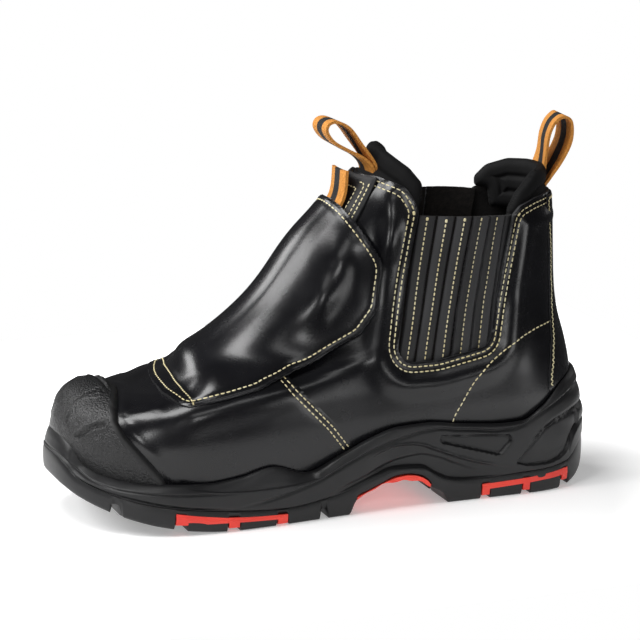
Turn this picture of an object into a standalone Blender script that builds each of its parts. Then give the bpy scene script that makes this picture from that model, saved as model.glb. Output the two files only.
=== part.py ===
"""Welding boot for the left foot: leather upper on a last, elastic gores, instep flap and lugged sole.

Sizes and tables are in millimetres and the meshes in metres. The toe points to -X, the outer side of
the foot to -Y, and the lugs stand on z = 0. A place on the upper is given by its level, counted in
rows of the section table, and by its turn, which runs from 0 at the toe along the outer side to 0.5
at the heel and back along the inner side to 1.
"""
import math

import bmesh
import bpy
import numpy as np

MM = 0.001

# Driving dimensions
SOLE_LENGTH = 302.0
BALL_WIDTH = 98.0
INSTEP_HEIGHT = 97.0
LEATHER = 2.2
SEAT_GAP = 0.3
WEBBING_WIDTH = 21.0
WEBBING = 1.5

# The section table is drawn for this sample size and graded to the driving dimensions
SAMPLE_LENGTH = 302.0
SAMPLE_BALL_WIDTH = 98.0
SAMPLE_INSTEP = 97.0
ALONG = SOLE_LENGTH / SAMPLE_LENGTH
ACROSS = BALL_WIDTH / SAMPLE_BALL_WIDTH
UPWARD = INSTEP_HEIGHT / SAMPLE_INSTEP

# Sections of the last from the feather edge up to the top of the collar pads, each a tilted oval.
# Nose and heel give its ends, sag its dip between them, and the rest its half widths and end rounding.
SECTION_COLUMNS = ("nose_x", "nose_z", "heel_x", "heel_z", "sag", "nose_y", "ball_out", "ball_in",
                   "waist_out", "waist_in", "heel_out", "heel_in", "nose_round", "heel_round")
SECTIONS = (
    (-138, 31, 139, 35, -9, 8, 47, 45, 37, 34, 34, 33, 0.21, 0.16),
    (-143, 46, 142.5, 50, -4, 8, 50, 48, 41, 37, 37, 36, 0.21, 0.16),
    (-138.5, 56.5, 141.5, 66, 0, 7, 49, 47, 41, 37, 37.5, 36.5, 0.22, 0.17),
    (-128, 63, 138.3, 81, 0, 6, 46, 44, 40, 36, 37, 36, 0.26, 0.18),
    (-112, 66, 134.8, 93, 0, 5, 40.5, 38.5, 39, 36, 36, 35, 0.32, 0.19),
    (-92, 69, 132.8, 104, 0, 4, 35, 33, 38, 35, 35, 34, 0.38, 0.21),
    (-69, 78, 132, 115, 0, 3, 31, 30, 37, 35, 34, 33.5, 0.42, 0.24),
    (-44, 97, 131.6, 126, 0, 2, 29, 28, 36, 35, 34, 33.5, 0.46, 0.28),
    (-19, 121, 131.3, 136, 0, 1, 30, 29, 36, 35.5, 34, 33.5, 0.48, 0.33),
    (1, 146, 131, 146, 0, 0, 32, 31.5, 37, 36.5, 34, 34, 0.50, 0.38),
    (14, 165, 130.5, 154, 0, 0, 34, 34, 38, 38, 34.5, 34.5, 0.50, 0.42),
    (22, 180, 130, 162, 0, 0, 35, 35, 39, 39, 35, 35, 0.50, 0.44),
    (27, 194, 130, 175, 0, 0, 35, 35, 39, 39, 35, 35, 0.50, 0.44),
)
SOLE_SECTION = (-151, 0, 151, 0, 0, 8, 55, 52, 44.5, 37, 40, 38.5, 0.21, 0.15)
WIDTH_STATIONS = (0.0, 0.28, 0.55, 0.80, 1.0)
END_TAPER = 0.97
OVAL_POWER = 2.15
SAG_SKEW = 0.6

# Levels and columns of the faceted upper
LEVELS = (0, 0.5, 1, 1.5, 2.1, 2.8, 3.6, 4.5, 5.5, 6.6, 7.7, 8.8, 9.9, 11, 12)
INSOLE_LEVEL = 0.5
SEAT_LEVEL = 4.5
COLLAR_LEVEL = 11
COLUMNS_AROUND = 40
END_CROWDING = 0.45

# Heights along the sole: top of the rim, ledge in the side wall, parting of the two layers, ground
RIM_LINE = ((-146, 51), (-142, 46), (-139.6, 40), (-136, 35), (-131, 31), (-123, 28.7), (-111, 27.3),
            (-99, 26.8), (-78, 25.7), (-61, 27.6), (-44, 31.4), (-23, 25.6), (-4, 33), (14, 41), (28, 45),
            (46, 45.6), (63, 43.3), (93, 40.5), (102, 41), (114, 47.5), (129, 59), (140, 63), (145, 64))
LEDGE_LINE = ((-151, 44), (-143, 39), (-136, 30), (-123, 24.5), (-100, 22.5), (-85, 21.8), (-52, 20.5),
              (-35, 20.2), (-23, 21.5), (-6, 25), (14, 30.5), (34, 34.3), (43, 33), (52, 28.5), (61, 24),
              (88, 21), (110, 21), (130, 24), (146, 35), (151, 36))
PARTING_LINE = ((-151, 38), (-143, 29), (-124, 21), (-107, 16.6), (-75, 12), (-35, 9), (-7, 12.3), (14, 19),
                (28, 22.5), (43, 21.5), (52, 16.3), (60, 12.7), (69, 11.7), (112, 12.7), (130, 14.6),
                (146, 25), (151, 26.5))
GROUND_LINE = ((-151, 26), (-141, 18.5), (-132, 16), (-121, 13), (-108, 8), (-101, 6.4), (-88, 3), (-72, 0.4),
               (-66, 0), (0.5, 0), (4, 6.5), (14, 11.4), (23, 14.4), (32, 14.7), (40, 13.6), (46, 10.6),
               (55.5, 5.5), (58.5, 0), (126, 0), (137, 2.6), (146, 8), (151, 15))
SOLE_STATIONS = 25
SOLE_BREAKS = (-66.0, 0.5, 4.0, 55.5, 58.5, 126.0)

# Side wall of the midsole. Height runs from 0 at the parting over 1 at the ledge to 2 at the rim.
# Lean is the share of the way in to the rim, and the other columns are in millimetres.
WALL_COLUMNS = ("height", "lean", "inset", "waist_recess", "heel_rib")
WALL = (
    (0.00, 0.00, 0.8, 0.0, 0.0),
    (0.12, 0.00, 0.0, 1.0, 0.0),
    (0.80, 0.00, 0.0, 2.6, 0.0),
    (1.00, 0.04, 0.0, 0.2, 0.6),
    (1.25, 0.18, 0.0, 0.0, -0.9),
    (1.42, 0.32, 0.0, 0.0, 0.9),
    (1.60, 0.52, 0.0, 0.0, -0.9),
    (1.76, 0.70, 0.0, 0.0, 0.9),
    (1.92, 0.92, 0.0, 0.0, 0.0),
    (2.00, 1.00, 0.9, 0.0, 0.0),
)
RIM_THICKNESS = 3.4
TOE_RIM_EXTRA = 2.0
TOE_RIM_FADE = (-85, -105)
WAIST_FADE = (-22, 0, 48, 66)
HEEL_RIB_FADE = (96, 132)
LEDGE_OVER_PARTING = 1.5
LEDGE_UNDER_RIM = 2.5
RIM_TOP_LEVEL = 4
RIM_SEARCH_STEPS = 81
PARTING_INSET = 0.8
PANEL_DEPTH = 1.3

# Side wall of the outsole: height from 0 at the ground to 1 at the parting, inset in millimetres
TREAD_WALL = ((0.0, 2.6), (0.2, 1.0), (0.55, 0.2), (1.0, PARTING_INSET))
LUG_DEPTH = 5.0
TREAD_MIDDLE_Y = 3.0
CHANNEL_Y = 17.0
CHANNEL_WIDTH = 4.0
SIDE_GROOVES = ((-127.5, -123.5), (-97.3, -91.3), (-69.2, -62.8), (-41.8, -35.8), (-16.5, -12.5),
                (77.7, 82.7), (102, 106.6), (126.7, 131.5))
MIDDLE_GROOVES = ((-82, -78), (-54, -50), (-28, -24), (90, 94))
CHANNELS = ((-122, 12), (50, 138))
INLAY_DEPTH = 5.0
INLAY_PROUD = 0.4

COLLECTION_NAME = "welding_boot"
# Helper forms reach this far out to the sides, start this far from the middle and end this far down
FAR = 90.0
SIDE_START = 12.0
UNDER = -9.0
FINE_STEPS = 401
SHARP_ANGLE = math.radians(35)


def catmull(values, where):
    """Smooth value at a fractional index of a row of values, by Catmull-Rom."""
    padded = np.concatenate([[2 * values[0] - values[1]], values, [2 * values[-1] - values[-2]]])
    first = np.clip(np.floor(where).astype(int), 0, len(padded) - 4)
    part = where - first
    a, b, c, d = (padded[first + k] for k in range(4))
    slope = c - a
    bend = 2 * a - 5 * b + 4 * c - d
    twist = 3 * b - a - 3 * c + d
    return 0.5 * (2 * b + slope * part + bend * part ** 2 + twist * part ** 3)


def along(line, x):
    """Height on a line of (x, height) rows: a smooth curve that never overshoots its rows."""
    rows = np.array(line, float)
    knots = rows[:, 0] * ALONG
    gap = np.diff(knots)
    rise = np.diff(rows[:, 1]) / gap
    slopes = np.zeros(len(knots))
    same_way = rise[:-1] * rise[1:] > 0
    mean = 2 * rise[:-1] * rise[1:] / np.where(same_way, rise[:-1] + rise[1:], 1)
    slopes[1:-1] = np.where(same_way, mean, 0)
    x = np.clip(x, knots[0], knots[-1])
    k = np.clip(np.searchsorted(knots, x) - 1, 0, len(gap) - 1)
    f = (x - knots[k]) / gap[k]
    start = rows[k, 1] * (1 + 2 * f) * (1 - f) ** 2 + slopes[k] * gap[k] * f * (1 - f) ** 2
    end = rows[k + 1, 1] * f ** 2 * (3 - 2 * f) + slopes[k + 1] * gap[k] * f ** 2 * (f - 1)
    return start + end


def smoothstep(low, high, value):
    """0 below low, 1 above high, and a soft rise between."""
    f = np.clip((value - low) / (high - low), 0, 1)
    return f * f * (3 - 2 * f)


def graded(row):
    """A section row as a dictionary in the graded size."""
    size = dict(zip(SECTION_COLUMNS, row))
    for name in size:
        if name.endswith("_x"):
            size[name] = size[name] * ALONG
        elif name.endswith(("_z", "sag")):
            size[name] = size[name] * UPWARD
        elif not name.endswith("round"):
            size[name] = size[name] * ACROSS
    return size


def section_at(level):
    """Section of the last at a fractional level of the table."""
    table = np.array(SECTIONS, float)
    row = [float(catmull(table[:, k], np.array([level]))[0]) for k in range(table.shape[1])]
    return graded(row)


def section_side(size, share, side):
    """Points of a section at shares of its length from nose to heel; side is -1 outer, 1 inner."""
    key = "out" if side < 0 else "in"
    ball, waist, heel = (size[name + key] for name in ("ball_", "waist_", "heel_"))
    widths = np.array([ball * END_TAPER, ball, waist, heel, heel * END_TAPER])
    middle = catmull(widths, np.interp(share, WIDTH_STATIONS, np.arange(len(widths))))
    nose = np.clip(1 - share / size["nose_round"], 0, 1)
    back = np.clip(1 - (1 - share) / size["heel_round"], 0, 1)
    round_off = ((1 - nose ** OVAL_POWER) * (1 - back ** OVAL_POWER)) ** (1 / OVAL_POWER)
    x = size["nose_x"] + (size["heel_x"] - size["nose_x"]) * share
    y = size["nose_y"] * (1 - share) ** 2 + side * middle * round_off
    z = size["nose_z"] + (size["heel_z"] - size["nose_z"]) * share
    z = z + size["sag"] * np.sin(np.pi * share ** SAG_SKEW)
    return np.stack([x, y, z], 1)


def cosine_shares(count):
    """Shares from 0 to 1 that crowd towards both ends."""
    return 0.5 - 0.5 * np.cos(np.linspace(0, np.pi, count))


def side_shares():
    """Shares of a side's length at the columns, closer together round the toe and heel."""
    count = COLUMNS_AROUND // 2 + 1
    return (1 - END_CROWDING) * np.linspace(0, 1, count) + END_CROWDING * cosine_shares(count)


SIDE_SHARES = side_shares()
TURNS = np.concatenate([SIDE_SHARES / 2, 1 - SIDE_SHARES[-2:0:-1] / 2])


def ring_of_last(level):
    """Closed ring of the last at a level."""
    size = section_at(level)
    sides = []
    for side in (-1, 1):
        fine = section_side(size, cosine_shares(FINE_STEPS), side)
        steps = np.linalg.norm(np.diff(fine, axis=0), axis=1)
        run = np.concatenate([[0], np.cumsum(steps)])
        places = SIDE_SHARES * run[-1]
        sides.append(np.stack([np.interp(places, run, fine[:, k]) for k in range(3)], 1))
    return np.concatenate([sides[0], sides[1][-2:0:-1]])


GRID = np.array([ring_of_last(level) for level in LEVELS])


def outward_normals(grid):
    """Unit normals of a grid of rings, pointing out of the boot."""
    around = np.roll(grid, -1, 1) - np.roll(grid, 1, 1)
    upward = np.gradient(grid, axis=0)
    cross = np.cross(around, upward)
    return cross / np.linalg.norm(cross, axis=2, keepdims=True)


NORMALS = outward_normals(GRID)


def skin(offset):
    """The last's grid moved out by an offset, which may vary over the grid."""
    return GRID + NORMALS * np.asarray(offset, float)[..., None]


def level_index(level):
    """Row of the grid at a level of the list."""
    return LEVELS.index(level)


def columns_between(first_turn, last_turn):
    """Grid columns from one turn to another; a negative turn lies on the inner side of the toe."""
    both = [(turn - 1, k) for k, turn in enumerate(TURNS)] + [(turn, k) for k, turn in enumerate(TURNS)]
    return [k for turn, k in both if first_turn <= turn <= last_turn]


def rounded(corners, steps=2):
    """Outline through rows of corner and radius, with an arc at each corner."""
    places = np.array([row[:2] for row in corners], float)
    outline = []
    for k, row in enumerate(corners):
        here = places[k]
        radius = row[2] if len(row) > 2 else 0
        if radius == 0:
            outline.append(tuple(here))
            continue
        before = places[k - 1] - here
        after = places[(k + 1) % len(places)] - here
        room = 0.5 * min(np.linalg.norm(before), np.linalg.norm(after))
        before = before / np.linalg.norm(before)
        after = after / np.linalg.norm(after)
        half_angle = 0.5 * math.acos(np.clip(before @ after, -1, 1))
        reach = min(radius / math.tan(half_angle), room)
        fitted = reach * math.tan(half_angle)
        bisector = before + after
        centre = here + bisector / np.linalg.norm(bisector) * fitted / math.sin(half_angle)
        start = here + before * reach - centre
        end = here + after * reach - centre
        first = math.atan2(start[1], start[0])
        sweep = (math.atan2(end[1], end[0]) - first + math.pi) % (2 * math.pi) - math.pi
        for step in range(steps + 1):
            angle = first + sweep * step / steps
            outline.append((centre[0] + fitted * math.cos(angle), centre[1] + fitted * math.sin(angle)))
    return outline


def material(name, colour, roughness):
    """Plain Principled material."""
    made = bpy.data.materials.new(name)
    made.use_nodes = True
    shader = made.node_tree.nodes["Principled BSDF"]
    shader.inputs["Base Color"].default_value = (*colour, 1)
    shader.inputs["Roughness"].default_value = roughness
    return made


def add_object(name, mesh, collection, finish=None):
    """Object for a mesh, hung on the boot's empty."""
    made = bpy.data.objects.new(name, mesh)
    collection.objects.link(made)
    made.parent = BOOT
    if finish is not None:
        mesh.materials.append(finish)
    else:
        made.hide_render = True
        made.display_type = "WIRE"
    return made


def mesh_from(name, points, faces):
    """Closed mesh from points in millimetres, with doubles merged and faces pointing out."""
    mesh = bpy.data.meshes.new(name)
    mesh.from_pydata([tuple(p) for p in np.asarray(points) * MM], [], faces)
    work = bmesh.new()
    work.from_mesh(mesh)
    bmesh.ops.remove_doubles(work, verts=work.verts, dist=1e-6)
    bmesh.ops.recalc_face_normals(work, faces=work.faces)
    work.to_mesh(mesh)
    work.free()
    mesh.shade_smooth()
    mesh.set_sharp_from_angle(angle=SHARP_ANGLE)
    return mesh


def quad(a, b, c, d):
    """The two triangles of a four-sided facet."""
    return [(a, b, c), (a, c, d)]


def stack_mesh(name, rings):
    """Solid through a stack of rings, closed at both ends by strips from side to side."""
    rings = np.asarray(rings)
    count, size = rings.shape[:2]
    faces = []
    for i in range(count - 1):
        for j in range(size):
            after = (j + 1) % size
            faces += quad(i * size + j, i * size + after, (i + 1) * size + after, (i + 1) * size + j)
    for base in (0, (count - 1) * size):
        for k in range(size // 2):
            other = (size - k) % size
            far = size - k - 1
            if k > 0 and far > k + 1:
                faces += quad(base + k, base + k + 1, base + far, base + other)
            elif k == 0:
                faces.append((base, base + 1, base + far))
            else:
                faces.append((base + k, base + k + 1, base + other))
    return mesh_from(name, rings.reshape(-1, 3), faces)


def wall_faces(rows, columns, closed):
    """Triangles of a grid of points and the loops of points along its free edges."""
    faces = []
    for i in range(rows - 1):
        for j in range(columns if closed else columns - 1):
            here = i * columns + j
            beside = i * columns + (j + 1) % columns
            faces += quad(here, beside, beside + columns, here + columns)
    low = list(range(columns))
    high = [(rows - 1) * columns + j for j in low]
    if closed:
        return faces, [low, high[::-1]]
    right = [i * columns + columns - 1 for i in range(1, rows - 1)]
    left = [i * columns for i in range(rows - 2, 0, -1)]
    return faces, [low + right + high[::-1] + left]


def slab_mesh(name, inner, outer, closed=False):
    """Closed wall between two grids of the same shape; a closed grid joins its last column to its first."""
    rows, columns = inner.shape[:2]
    layer = rows * columns
    sheet, edges = wall_faces(rows, columns, closed)
    faces = [tuple(layer + k for k in face) for face in sheet]
    faces += [face[::-1] for face in sheet]
    for edge in edges:
        for here, there in zip(edge, edge[1:] + edge[:1]):
            faces += quad(here, there, layer + there, layer + here)
    points = np.concatenate([inner.reshape(-1, 3), outer.reshape(-1, 3)])
    return mesh_from(name, points, faces)


def overlay_mesh(name, levels, turns, inner, outer):
    """Slab that lies over the last between two offsets, over a range of levels and turns."""
    rows = [k for k, level in enumerate(LEVELS) if levels[0] <= level <= levels[1]]
    columns = columns_between(*turns)
    pick = np.ix_(rows, columns)
    return slab_mesh(name, skin(inner)[pick], skin(outer)[pick])


def slices_mesh(name, slices):
    """Solid through equal slices, closed by a flat face at each end."""
    mesh = bpy.data.meshes.new(name)
    work = bmesh.new()
    loops = [[work.verts.new(np.array(p) * MM) for p in points] for points in slices]
    work.faces.new(loops[0])
    work.faces.new(loops[-1][::-1])
    for near, far in zip(loops, loops[1:]):
        for k in range(len(near)):
            work.faces.new((near[k], near[k - 1], far[k - 1], far[k]))
    bmesh.ops.recalc_face_normals(work, faces=work.faces)
    work.to_mesh(mesh)
    work.free()
    return mesh


def prism_mesh(name, outline, axis, low, high):
    """Prism of a flat outline, drawn as (x, z) and run along Y, or as (y, z) and run along X."""
    slices = []
    for depth in (low, high):
        slices.append([(a, depth, b) if axis == "Y" else (depth, a, b) for a, b in outline])
    return slices_mesh(name, slices)


def band_mesh(name, outline, half_width, bow, bow_ends):
    """Band of a side outline run across the boot, bowed round the collar below the bow's ends."""
    slices = []
    for y in np.linspace(-half_width, half_width, BAND_SLICES):
        shift = [bow * y * y * float(smoothstep(bow_ends[1], bow_ends[0], z)) for x, z in outline]
        slices.append([(x + moved, y, z) for (x, z), moved in zip(outline, shift)])
    return slices_mesh(name, slices)


def boxes_mesh(name, boxes):
    """Separate boxes, each a pair of opposite corners, in one mesh."""
    work = bmesh.new()
    for low, high in boxes:
        low = np.array(low) * MM
        high = np.array(high) * MM
        made = bmesh.ops.create_cube(work, size=1)["verts"]
        bmesh.ops.scale(work, vec=high - low, verts=made)
        bmesh.ops.translate(work, vec=(low + high) / 2, verts=made)
    mesh = bpy.data.meshes.new(name)
    work.to_mesh(mesh)
    work.free()
    return mesh


def combine(target, other, operation):
    """Boolean modifier that stays on the target."""
    change = target.modifiers.new(operation.lower(), "BOOLEAN")
    change.operation = operation
    change.object = other
    change.solver = "EXACT"


def part(name, mesh, finish):
    """A named piece of the boot."""
    return add_object(name, mesh, PARTS, finish)


def cutter(name, mesh):
    """A hidden helper form."""
    return add_object(name, mesh, CUTTERS)


def grown(outline, amount):
    """An outline moved outwards by an amount, corner by corner."""
    places = np.array(outline, float)
    before = places - np.roll(places, 1, 0)
    after = np.roll(places, -1, 0) - places
    area = np.sum(places[:, 0] * np.roll(places[:, 1], -1) - np.roll(places[:, 0], -1) * places[:, 1])
    turn = 1 if area > 0 else -1
    moved = []
    for here, way_in, way_out in zip(places, before, after):
        first = np.array((way_in[1], -way_in[0])) / np.linalg.norm(way_in) * turn
        second = np.array((way_out[1], -way_out[0])) / np.linalg.norm(way_out) * turn
        miter = (first + second) / (1 + first @ second)
        moved.append(tuple(here + miter * amount))
    return moved


# Outlines of the upper's panels in side view, rows of x, z and corner radius
COLLAR_EDGE = ((-30, 175.5), (25, 176, 8), (37.5, 171, 8), (42.8, 162, 8), (43.8, 157, 2), (36, 119),
               (28, 78.6, 9), (53, 78.4, 30), (83, 84, 7), (90.2, 122, 60), (97, 153.5, 2), (101.5, 157.6, 4),
               (112, 160.6, 12), (124, 161.8, 8), (160, 162.2), (160, 260), (-30, 260))
GORE_EDGE = ((38.3, 156), (30, 119), (21.6, 72.4, 13), (53, 72.2, 30), (89, 79, 11), (96.3, 122, 60),
             (102.6, 152.6))
FLAP_EDGE = ((-97, 72), (-95, 68.5, 4), (-86, 63.6, 8), (-53, 70, 60), (-18, 80.2, 60), (9.7, 94.5, 12),
             (20, 107, 12), (24.5, 131, 16), (12.5, 155, 30), (-12, 192), (-110, 160))
CAP_REAR = ((-106, 76), (-112, 69.5, 6), (-120.5, 65.3, 3), (-123.6, 57, 6), (-117.8, 48.5, 8),
            (-106, 36.2, 20))
CAP_END_X = -98.5
CAP_TIP_X = -146.0
CAP_FOOT_STEPS = 13
CAP_FRONT = ((-165, 52), (-165, 80))
CAP_GAP = 0.7
PAD_FRONT_EDGE = ((-20, 147), (33, 147, 3), (36.6, 157.4, 1), (42.6, 158.2, 2), (45.6, 165, 4),
                  (45.6, 174, 6), (39, 182.2, 12), (20, 196), (-20, 204))
PAD_REAR_EDGE = ((160, 147), (105, 147, 3), (104.2, 157.8, 1), (97.2, 158.4, 2), (97.4, 164, 6),
                 (103.5, 171.5, 8), (115, 176, 12), (131, 176.6), (160, 182))
PAD_THICKNESS = 7.0
GORE_THICKNESS = 1.6
CAP_THICKNESS = 4.0
STRIP_THICKNESS = 1.5
PLACKET_THICKNESS = 3.0

# Levels and turns that each overlay is taken from before it is cut to its outline
GORE_LEVELS = (2.1, 11)
GORE_TURNS = (0.11, 0.43)
PAD_LEVELS = (7.7, 12)
PAD_FRONT_TURNS = (-0.21, 0.21)
PAD_REAR_TURNS = (0.29, 0.71)
BACK_STRIP_LEVELS = (1, 11)
BACK_STRIP_TURNS = (0.37, 0.63)
PLACKET_LEVELS = (6.6, 11)
PLACKET_TURNS = (-0.13, 0.13)
FLAP_LEVELS = (2.1, 11)
FLAP_TURNS = (-0.25, 0.25)
CAP_LEVELS = (0, 5.5)
CAP_TURNS = (-0.16, 0.16)

# Strips seen from the front or back: rows of height and half width
BACK_STRIP = ((160.6, 21.5), (130, 18.5), (109, 17.8), (92, 19.5), (76, 24), (61.5, 28.5))
BACK_STRIP_FOOT = ((17, 65.3), (0, 66.6), (-17, 65.3))
BACK_CUT = (60, 190)
PLACKET_HALF_WIDTH = 18.0
PLACKET_HEIGHTS = (141.0, 175.0)
FRONT_CUT = (-60, 45)

# Stand-off of the flap over the instep, rows of x and distance, and how much is left towards its sides
FLAP_LIFT = ((-97, 0.5), (-86, 0.6), (-78, 2.2), (-68, 7.0), (-50, 8.6), (-8, 8.8), (2, 8.4), (10, 8.2))
FLAP_SIDE_LIFT = ((0.0, 1.0), (0.07, 0.9), (0.12, 0.5), (0.17, 0.3), (0.27, 0.25))
FLAP_LEAST_LIFT = 0.5

# Routes of the webbing in side view, along the middle of its thickness
FRONT_LOOP = ((24.5, 164), (25.6, 170), (26.2, 175.4), (25, 180.8), (20.2, 190), (13, 200.4), (6, 204.4),
              (1.2, 203.8), (-0.2, 199.8), (3.6, 194.2), (11, 189.4), (18.2, 185.2), (22.6, 180.6),
              (24.2, 175.6), (23.7, 170), (22.6, 164))
REAR_LOOP = ((123.9, 150), (124.1, 157), (124.6, 162.5), (128, 171), (129.9, 180), (130.2, 189),
             (132.3, 194.4), (135.6, 197.8), (139, 199), (142, 197), (143, 192), (141.8, 186), (137.2, 176), (130.6, 167.8),
             (126.7, 163), (126, 157), (125.8, 150))
# The collar's curve bows the webbing by this much for each square millimetre across, up to these heights
FRONT_BOW = 0.0186
REAR_BOW = -0.0165
FRONT_BOW_ENDS = (179.0, 196.0)
REAR_BOW_ENDS = (166.0, 188.0)
BAND_SLICES = 3
FRONT_POCKET_TOP = 190.5
REAR_POCKET_TOP = 180.5
TAB_ROUTE = ((-2.6, 149), (2.6, 156.7), (6.2, 162.4), (8.2, 167), (9.4, 172), (10, 178.4))
TAB_THICKNESS = 1.6

# Panels sunk into the midsole's side wall and inlays let into the outsole, in side view
QUARTER_PANEL = ((52.5, 38.3, 2.5), (94, 34.6, 2.5), (96, 31, 2), (88.5, 23.4, 3), (53.5, 33.8, 2))
HEEL_PANEL = ((98, 17.4, 1.5), (108, 15.9, 4), (127, 17.4, 4), (131.5, 21, 4), (141, 33, 3), (113, 32.6, 4))
FOREFOOT_BAR = ((-97, 12.4, 6.2), (-69, 8, 5.2), (-36, 6, 3.6))
FOREFOOT_TABS = ((-97, -91.6, 5.9), (-68.9, -63.1, 2.2), (-41.5, -36, 0.9))
HEEL_BAR = ((78, 8.4, 5.3), (104, 9.2, 6.4), (131.2, 11.3, 7.9))
HEEL_TABS = ((78, 82.4, 2.0), (102.3, 106.3, 2.4), (127, 131.2, 4.6))
BAR_HEIGHT_STEPS = 2
SHANK_TOP = ((5, 9.4), (11, 11.6), (17, 13.9), (23, 16.3), (28, 17.7), (34, 18.1), (39, 17.4), (43, 15.9),
             (46, 13.8), (48, 11.4))
SHANK_RIBS = 4
SHANK_STEPS_PER_RIB = 8
SHANK_RIB_DEPTH = 1.0


def sole_stations():
    """Shares along the sole, with extra ones at the ends of its flats."""
    breaks = [(x + SAMPLE_LENGTH / 2) / SAMPLE_LENGTH for x in SOLE_BREAKS]
    return np.unique(np.concatenate([cosine_shares(SOLE_STATIONS), breaks]))


SHARES = sole_stations()


def ring_from_sides(outer, inner):
    """One ring from the two sides, each listed from nose to heel."""
    return np.concatenate([outer, inner[-2:0:-1]])


def plan_normals(ring):
    """Horizontal unit normals of a ring, pointing outwards."""
    run = np.roll(ring, -1, 0) - np.roll(ring, 1, 0)
    normal = np.stack([-run[:, 1], run[:, 0], np.zeros(len(ring))], 1)
    normal = normal / np.linalg.norm(normal, axis=1, keepdims=True)
    away = np.sign(np.sum(normal * (ring - ring.mean(0)), axis=1))
    return normal * np.where(away == 0, 1, away)[:, None]


def sole_plan():
    """The sole's edge seen from above."""
    size = graded(SOLE_SECTION)
    return ring_from_sides(section_side(size, SHARES, -1), section_side(size, SHARES, 1))


def rim_plan():
    """Where the rim's top meets the upper: the last at the height of the rim line."""
    levels = np.linspace(0, RIM_TOP_LEVEL, RIM_SEARCH_STEPS)
    sides = []
    for side in (-1, 1):
        sheet = np.array([section_side(section_at(level), SHARES, side) for level in levels])
        over = sheet[..., 2] - along(RIM_LINE, sheet[..., 0])
        first = np.argmax(over > 0, axis=0)
        sides.append(sheet[first, np.arange(len(SHARES))])
    return ring_from_sides(*sides)


PLAN = sole_plan()
PLAN_OUT = plan_normals(PLAN)
RIM = rim_plan()
RIM_OUT = plan_normals(RIM)


def midsole_rings(inset):
    """Rings of the midsole's outer form, moved in by an inset."""
    x = PLAN[:, 0]
    parting = along(PARTING_LINE, x) + SEAT_GAP / 2
    ledge = along(LEDGE_LINE, x)
    rim_height = along(RIM_LINE, RIM[:, 0])
    ledge = np.clip(ledge, parting + LEDGE_OVER_PARTING, rim_height - LEDGE_UNDER_RIM)
    thick = RIM_THICKNESS + TOE_RIM_EXTRA * smoothstep(*TOE_RIM_FADE, x)
    top = RIM + RIM_OUT * thick[:, None]
    waist = smoothstep(*WAIST_FADE[:2], x) * smoothstep(*WAIST_FADE[:1:-1], x)
    heel = smoothstep(*HEEL_RIB_FADE, x)
    rings = []
    for row in WALL:
        size = dict(zip(WALL_COLUMNS, row))
        moved = heel * size["heel_rib"] - waist * size["waist_recess"] - size["inset"] - inset
        place = PLAN * (1 - size["lean"]) + top * size["lean"]
        outward = PLAN_OUT * (1 - size["lean"]) + RIM_OUT * size["lean"]
        ring = place + outward * moved[:, None]
        below = parting + (ledge - parting) * min(size["height"], 1)
        ring[:, 2] = below + (rim_height - ledge) * max(size["height"] - 1, 0)
        rings.append(ring)
    return rings


def outsole_rings(inset):
    """Rings of the outsole's outer form without its grooves, moved in by an inset."""
    x = PLAN[:, 0]
    ground = along(GROUND_LINE, x)
    parting = along(PARTING_LINE, x) - SEAT_GAP / 2
    rings = []
    for height, wall_inset in TREAD_WALL:
        ring = PLAN - PLAN_OUT * (wall_inset + inset)
        ring[:, 2] = ground + (parting - ground) * height
        rings.append(ring)
    return rings


def make_upper(finish):
    """Leather wall between two skins of the last, open underneath, at the collar and at the gores."""
    top = level_index(COLLAR_LEVEL) + 1
    wall = slab_mesh("upper", skin(-LEATHER)[:top], skin(0)[:top], closed=True)
    upper = part("upper", wall, finish)
    opening = cutter("collar_cut", prism_mesh("collar_cut", rounded(COLLAR_EDGE), "Y", -FAR, FAR))
    combine(upper, opening, "DIFFERENCE")


def make_gores(finish):
    """Elastic panels behind the leather, a sewing margin larger than the cut-outs."""
    outer = -LEATHER - SEAT_GAP
    frame = cutter("gore_outline", prism_mesh("gore_outline", rounded(GORE_EDGE), "Y", -FAR, FAR))
    inner_turns = (1 - GORE_TURNS[1], 1 - GORE_TURNS[0])
    for name, turns in (("gore_outer", GORE_TURNS), ("gore_inner", inner_turns)):
        mesh = overlay_mesh(name, GORE_LEVELS, turns, outer - GORE_THICKNESS, outer)
        combine(part(name, mesh, finish), frame, "INTERSECT")


def make_pads(finish):
    """Padded collars inside the leather, with a pocket where the pull loop is sewn in."""
    outer = -LEATHER - SEAT_GAP
    for name, edge, turns in (
        ("collar_pad_front", PAD_FRONT_EDGE, PAD_FRONT_TURNS),
        ("collar_pad_rear", PAD_REAR_EDGE, PAD_REAR_TURNS),
    ):
        pad = part(name, overlay_mesh(name, PAD_LEVELS, turns, outer - PAD_THICKNESS, outer), finish)
        outline = cutter(name + "_outline", prism_mesh(name + "_outline", rounded(edge), "Y", -FAR, FAR))
        combine(pad, outline, "INTERSECT")
        combine(pad, make_pocket(name), "DIFFERENCE")


def make_pocket(pad_name):
    """Room in a pad for the sewn-in legs of its pull loop."""
    if pad_name == "collar_pad_front":
        route, top, bow, bow_ends = FRONT_LOOP, FRONT_POCKET_TOP, FRONT_BOW, FRONT_BOW_ENDS
    else:
        route, top, bow, bow_ends = REAR_LOOP, REAR_POCKET_TOP, REAR_BOW, REAR_BOW_ENDS
    legs = grown([place for place in route if place[1] <= top], WEBBING / 2 + SEAT_GAP)
    name = pad_name + "_pocket"
    return cutter(name, band_mesh(name, legs, WEBBING_WIDTH / 2 + SEAT_GAP, bow, bow_ends))


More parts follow.
